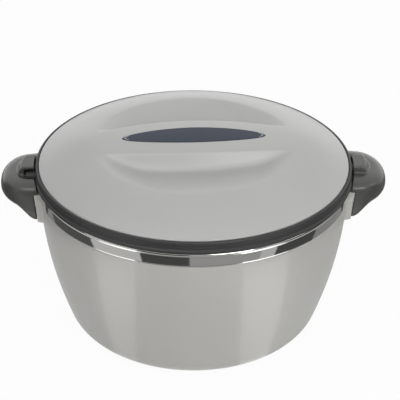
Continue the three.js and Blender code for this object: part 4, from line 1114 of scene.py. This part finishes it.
def at_x(x):
    """A card's side where the wall lies at one distance to the right of the axis."""
    return lambda radius: np.degrees(np.arcsin(x / radius)) - math.degrees(POT_TURN)


FAN = [  # from angle, to angle, glow
    [-96, -75, 0.03], [-75, -62, 0.24], [-62, -39.5, 0.085], [-39.5, -20, 0.53], [-20, -3, 0.065],
    [-3, 22, 0.33], [22, 28, 0.5], [28, 46, 0.065], [46, 76, 0.25], [76, 80, 0.09], [80, 96, 0.19],
]
FAN_NEAR, FAN_FAR, FAN_RISE, FAN_FRONT, FAN_LEVEL = 0.79, 9.0, 1200.0, 63, 0.9
WALL = [  # from side, to side, glow, glow next to the pot
    [at_angle(-88), at_angle(-38), 0.6, 0.6], [at_angle(-38), at_x(-48), 1.75, 0.8],
    [at_x(-48), at_x(40.5), 0.25, 0.75], [at_x(40.5), at_angle(33.5), 1.95, 1.0],
    [at_angle(33.5), at_angle(88), 0.5, 0.6],
]
WALL_FROM, WALL_TO, WALL_LEVEL = 7, 129.5, 0.6
NEAR_POT, FAR_FROM_POT = 0.095, 0.23  # metres between which a wall card's glow changes
BACK_CARD = [[[-1200, 900, z], [1200, 900, z]] for z in (0, 400)]  # upright, behind the pot
BACK_GLOW = 1.5
print("cards for the band:", len(FAN), "and for the wall:", len(WALL))

# %% Reflection cards
def mirrored(points, normals, share=1.0):
    """Where the camera's rays land on the floor after one reflection: d - 2 (d . n) n from
    each point, taken the given share of the way to the floor's height."""
    ray = unit(points - POT_EYE)
    away = ray - 2 * (ray * normals).sum(-1, keepdims=True) * normals
    return points - away * (points[..., 2:] / away[..., 2:]) * share


def card(name, points, strength, near):
    """A flat patch of the given glow, met by reflected rays only. Towards the middle of the
    pot it goes over to the near glow, so that a highlight can fade at the pot's foot."""
    piece = grid_piece(name, points, wrap_rows=False, wrap_columns=False)
    material, tree = new_material(name)
    coords = linked(tree, "TexCoord")["Object"]
    distance = linked(tree, "VectorMath", {"operation": "LENGTH"}, i0=coords)["Value"]
    ramp = {"From Min": NEAR_POT, "From Max": FAR_FROM_POT, "To Min": near, "To Max": strength}
    faded = linked(tree, "MapRange", Value=distance, **ramp)["Result"]
    glow = linked(tree, "Emission", Strength=faded)["Emission"]
    fill(tree.nodes["Material Output"], {"Surface": glow})
    piece.data.materials.append(material)
    piece.visible_camera = piece.visible_diffuse = piece.visible_shadow = False
    piece.visible_transmission = piece.visible_volume_scatter = False


def band_card(first, last):
    """The floor that the steel band mirrors between two angles; in front of the pot the
    strip also stands up at its far end, which is what the rim's bead mirrors."""
    phi = np.radians(np.linspace(first, last, 12))
    normals = stacked(np.sin(phi), -np.cos(phi), 0.0)
    points = normals * BAND.radius + [0, 0, (BAND.high + BAND.low) / 2]
    far = mirrored(points, normals, FAN_FAR)
    rows = np.stack([mirrored(points, normals, FAN_NEAR), far, far])
    top = FAN_RISE if max(-first, last) < FAN_FRONT else FAN_LEVEL + 1
    rows[..., 2] = np.array([FAN_LEVEL, FAN_LEVEL, top])[:, None]
    return rows


def wall_card(first, last):
    """The floor that the satin wall mirrors between two sides, from foot to band."""
    line = shell_outside(8, 24)
    line = line[(line[:, 1] > WALL_FROM) & (line[:, 1] < WALL_TO)]
    r, z = line.T[..., None]
    down, out = unit(np.gradient(line, axis=0)).T[..., None]
    t = np.linspace(0, 1, 10)
    phi = np.radians(first(r) * (1 - t) + last(r) * t)
    normals = stacked(out * np.sin(phi), -out * np.cos(phi), -down)
    points = stacked(r * np.sin(phi), -r * np.cos(phi), z)
    floor_points = mirrored(points, normals)
    floor_points[..., 2] = WALL_LEVEL
    return floor_points


for number, (first, last, strength) in enumerate(FAN):
    card(f"card_fan_{number}", band_card(first, last), strength, strength)
for number, (first, last, strength, near) in enumerate(WALL):
    card(f"card_wall_{number}", wall_card(first, last), strength, near)
card("card_back", np.array(BACK_CARD, float), BACK_GLOW, BACK_GLOW)
bpy.context.scene.view_settings.view_transform = "Standard"
print("cards:", len(FAN) + len(WALL) + 1)
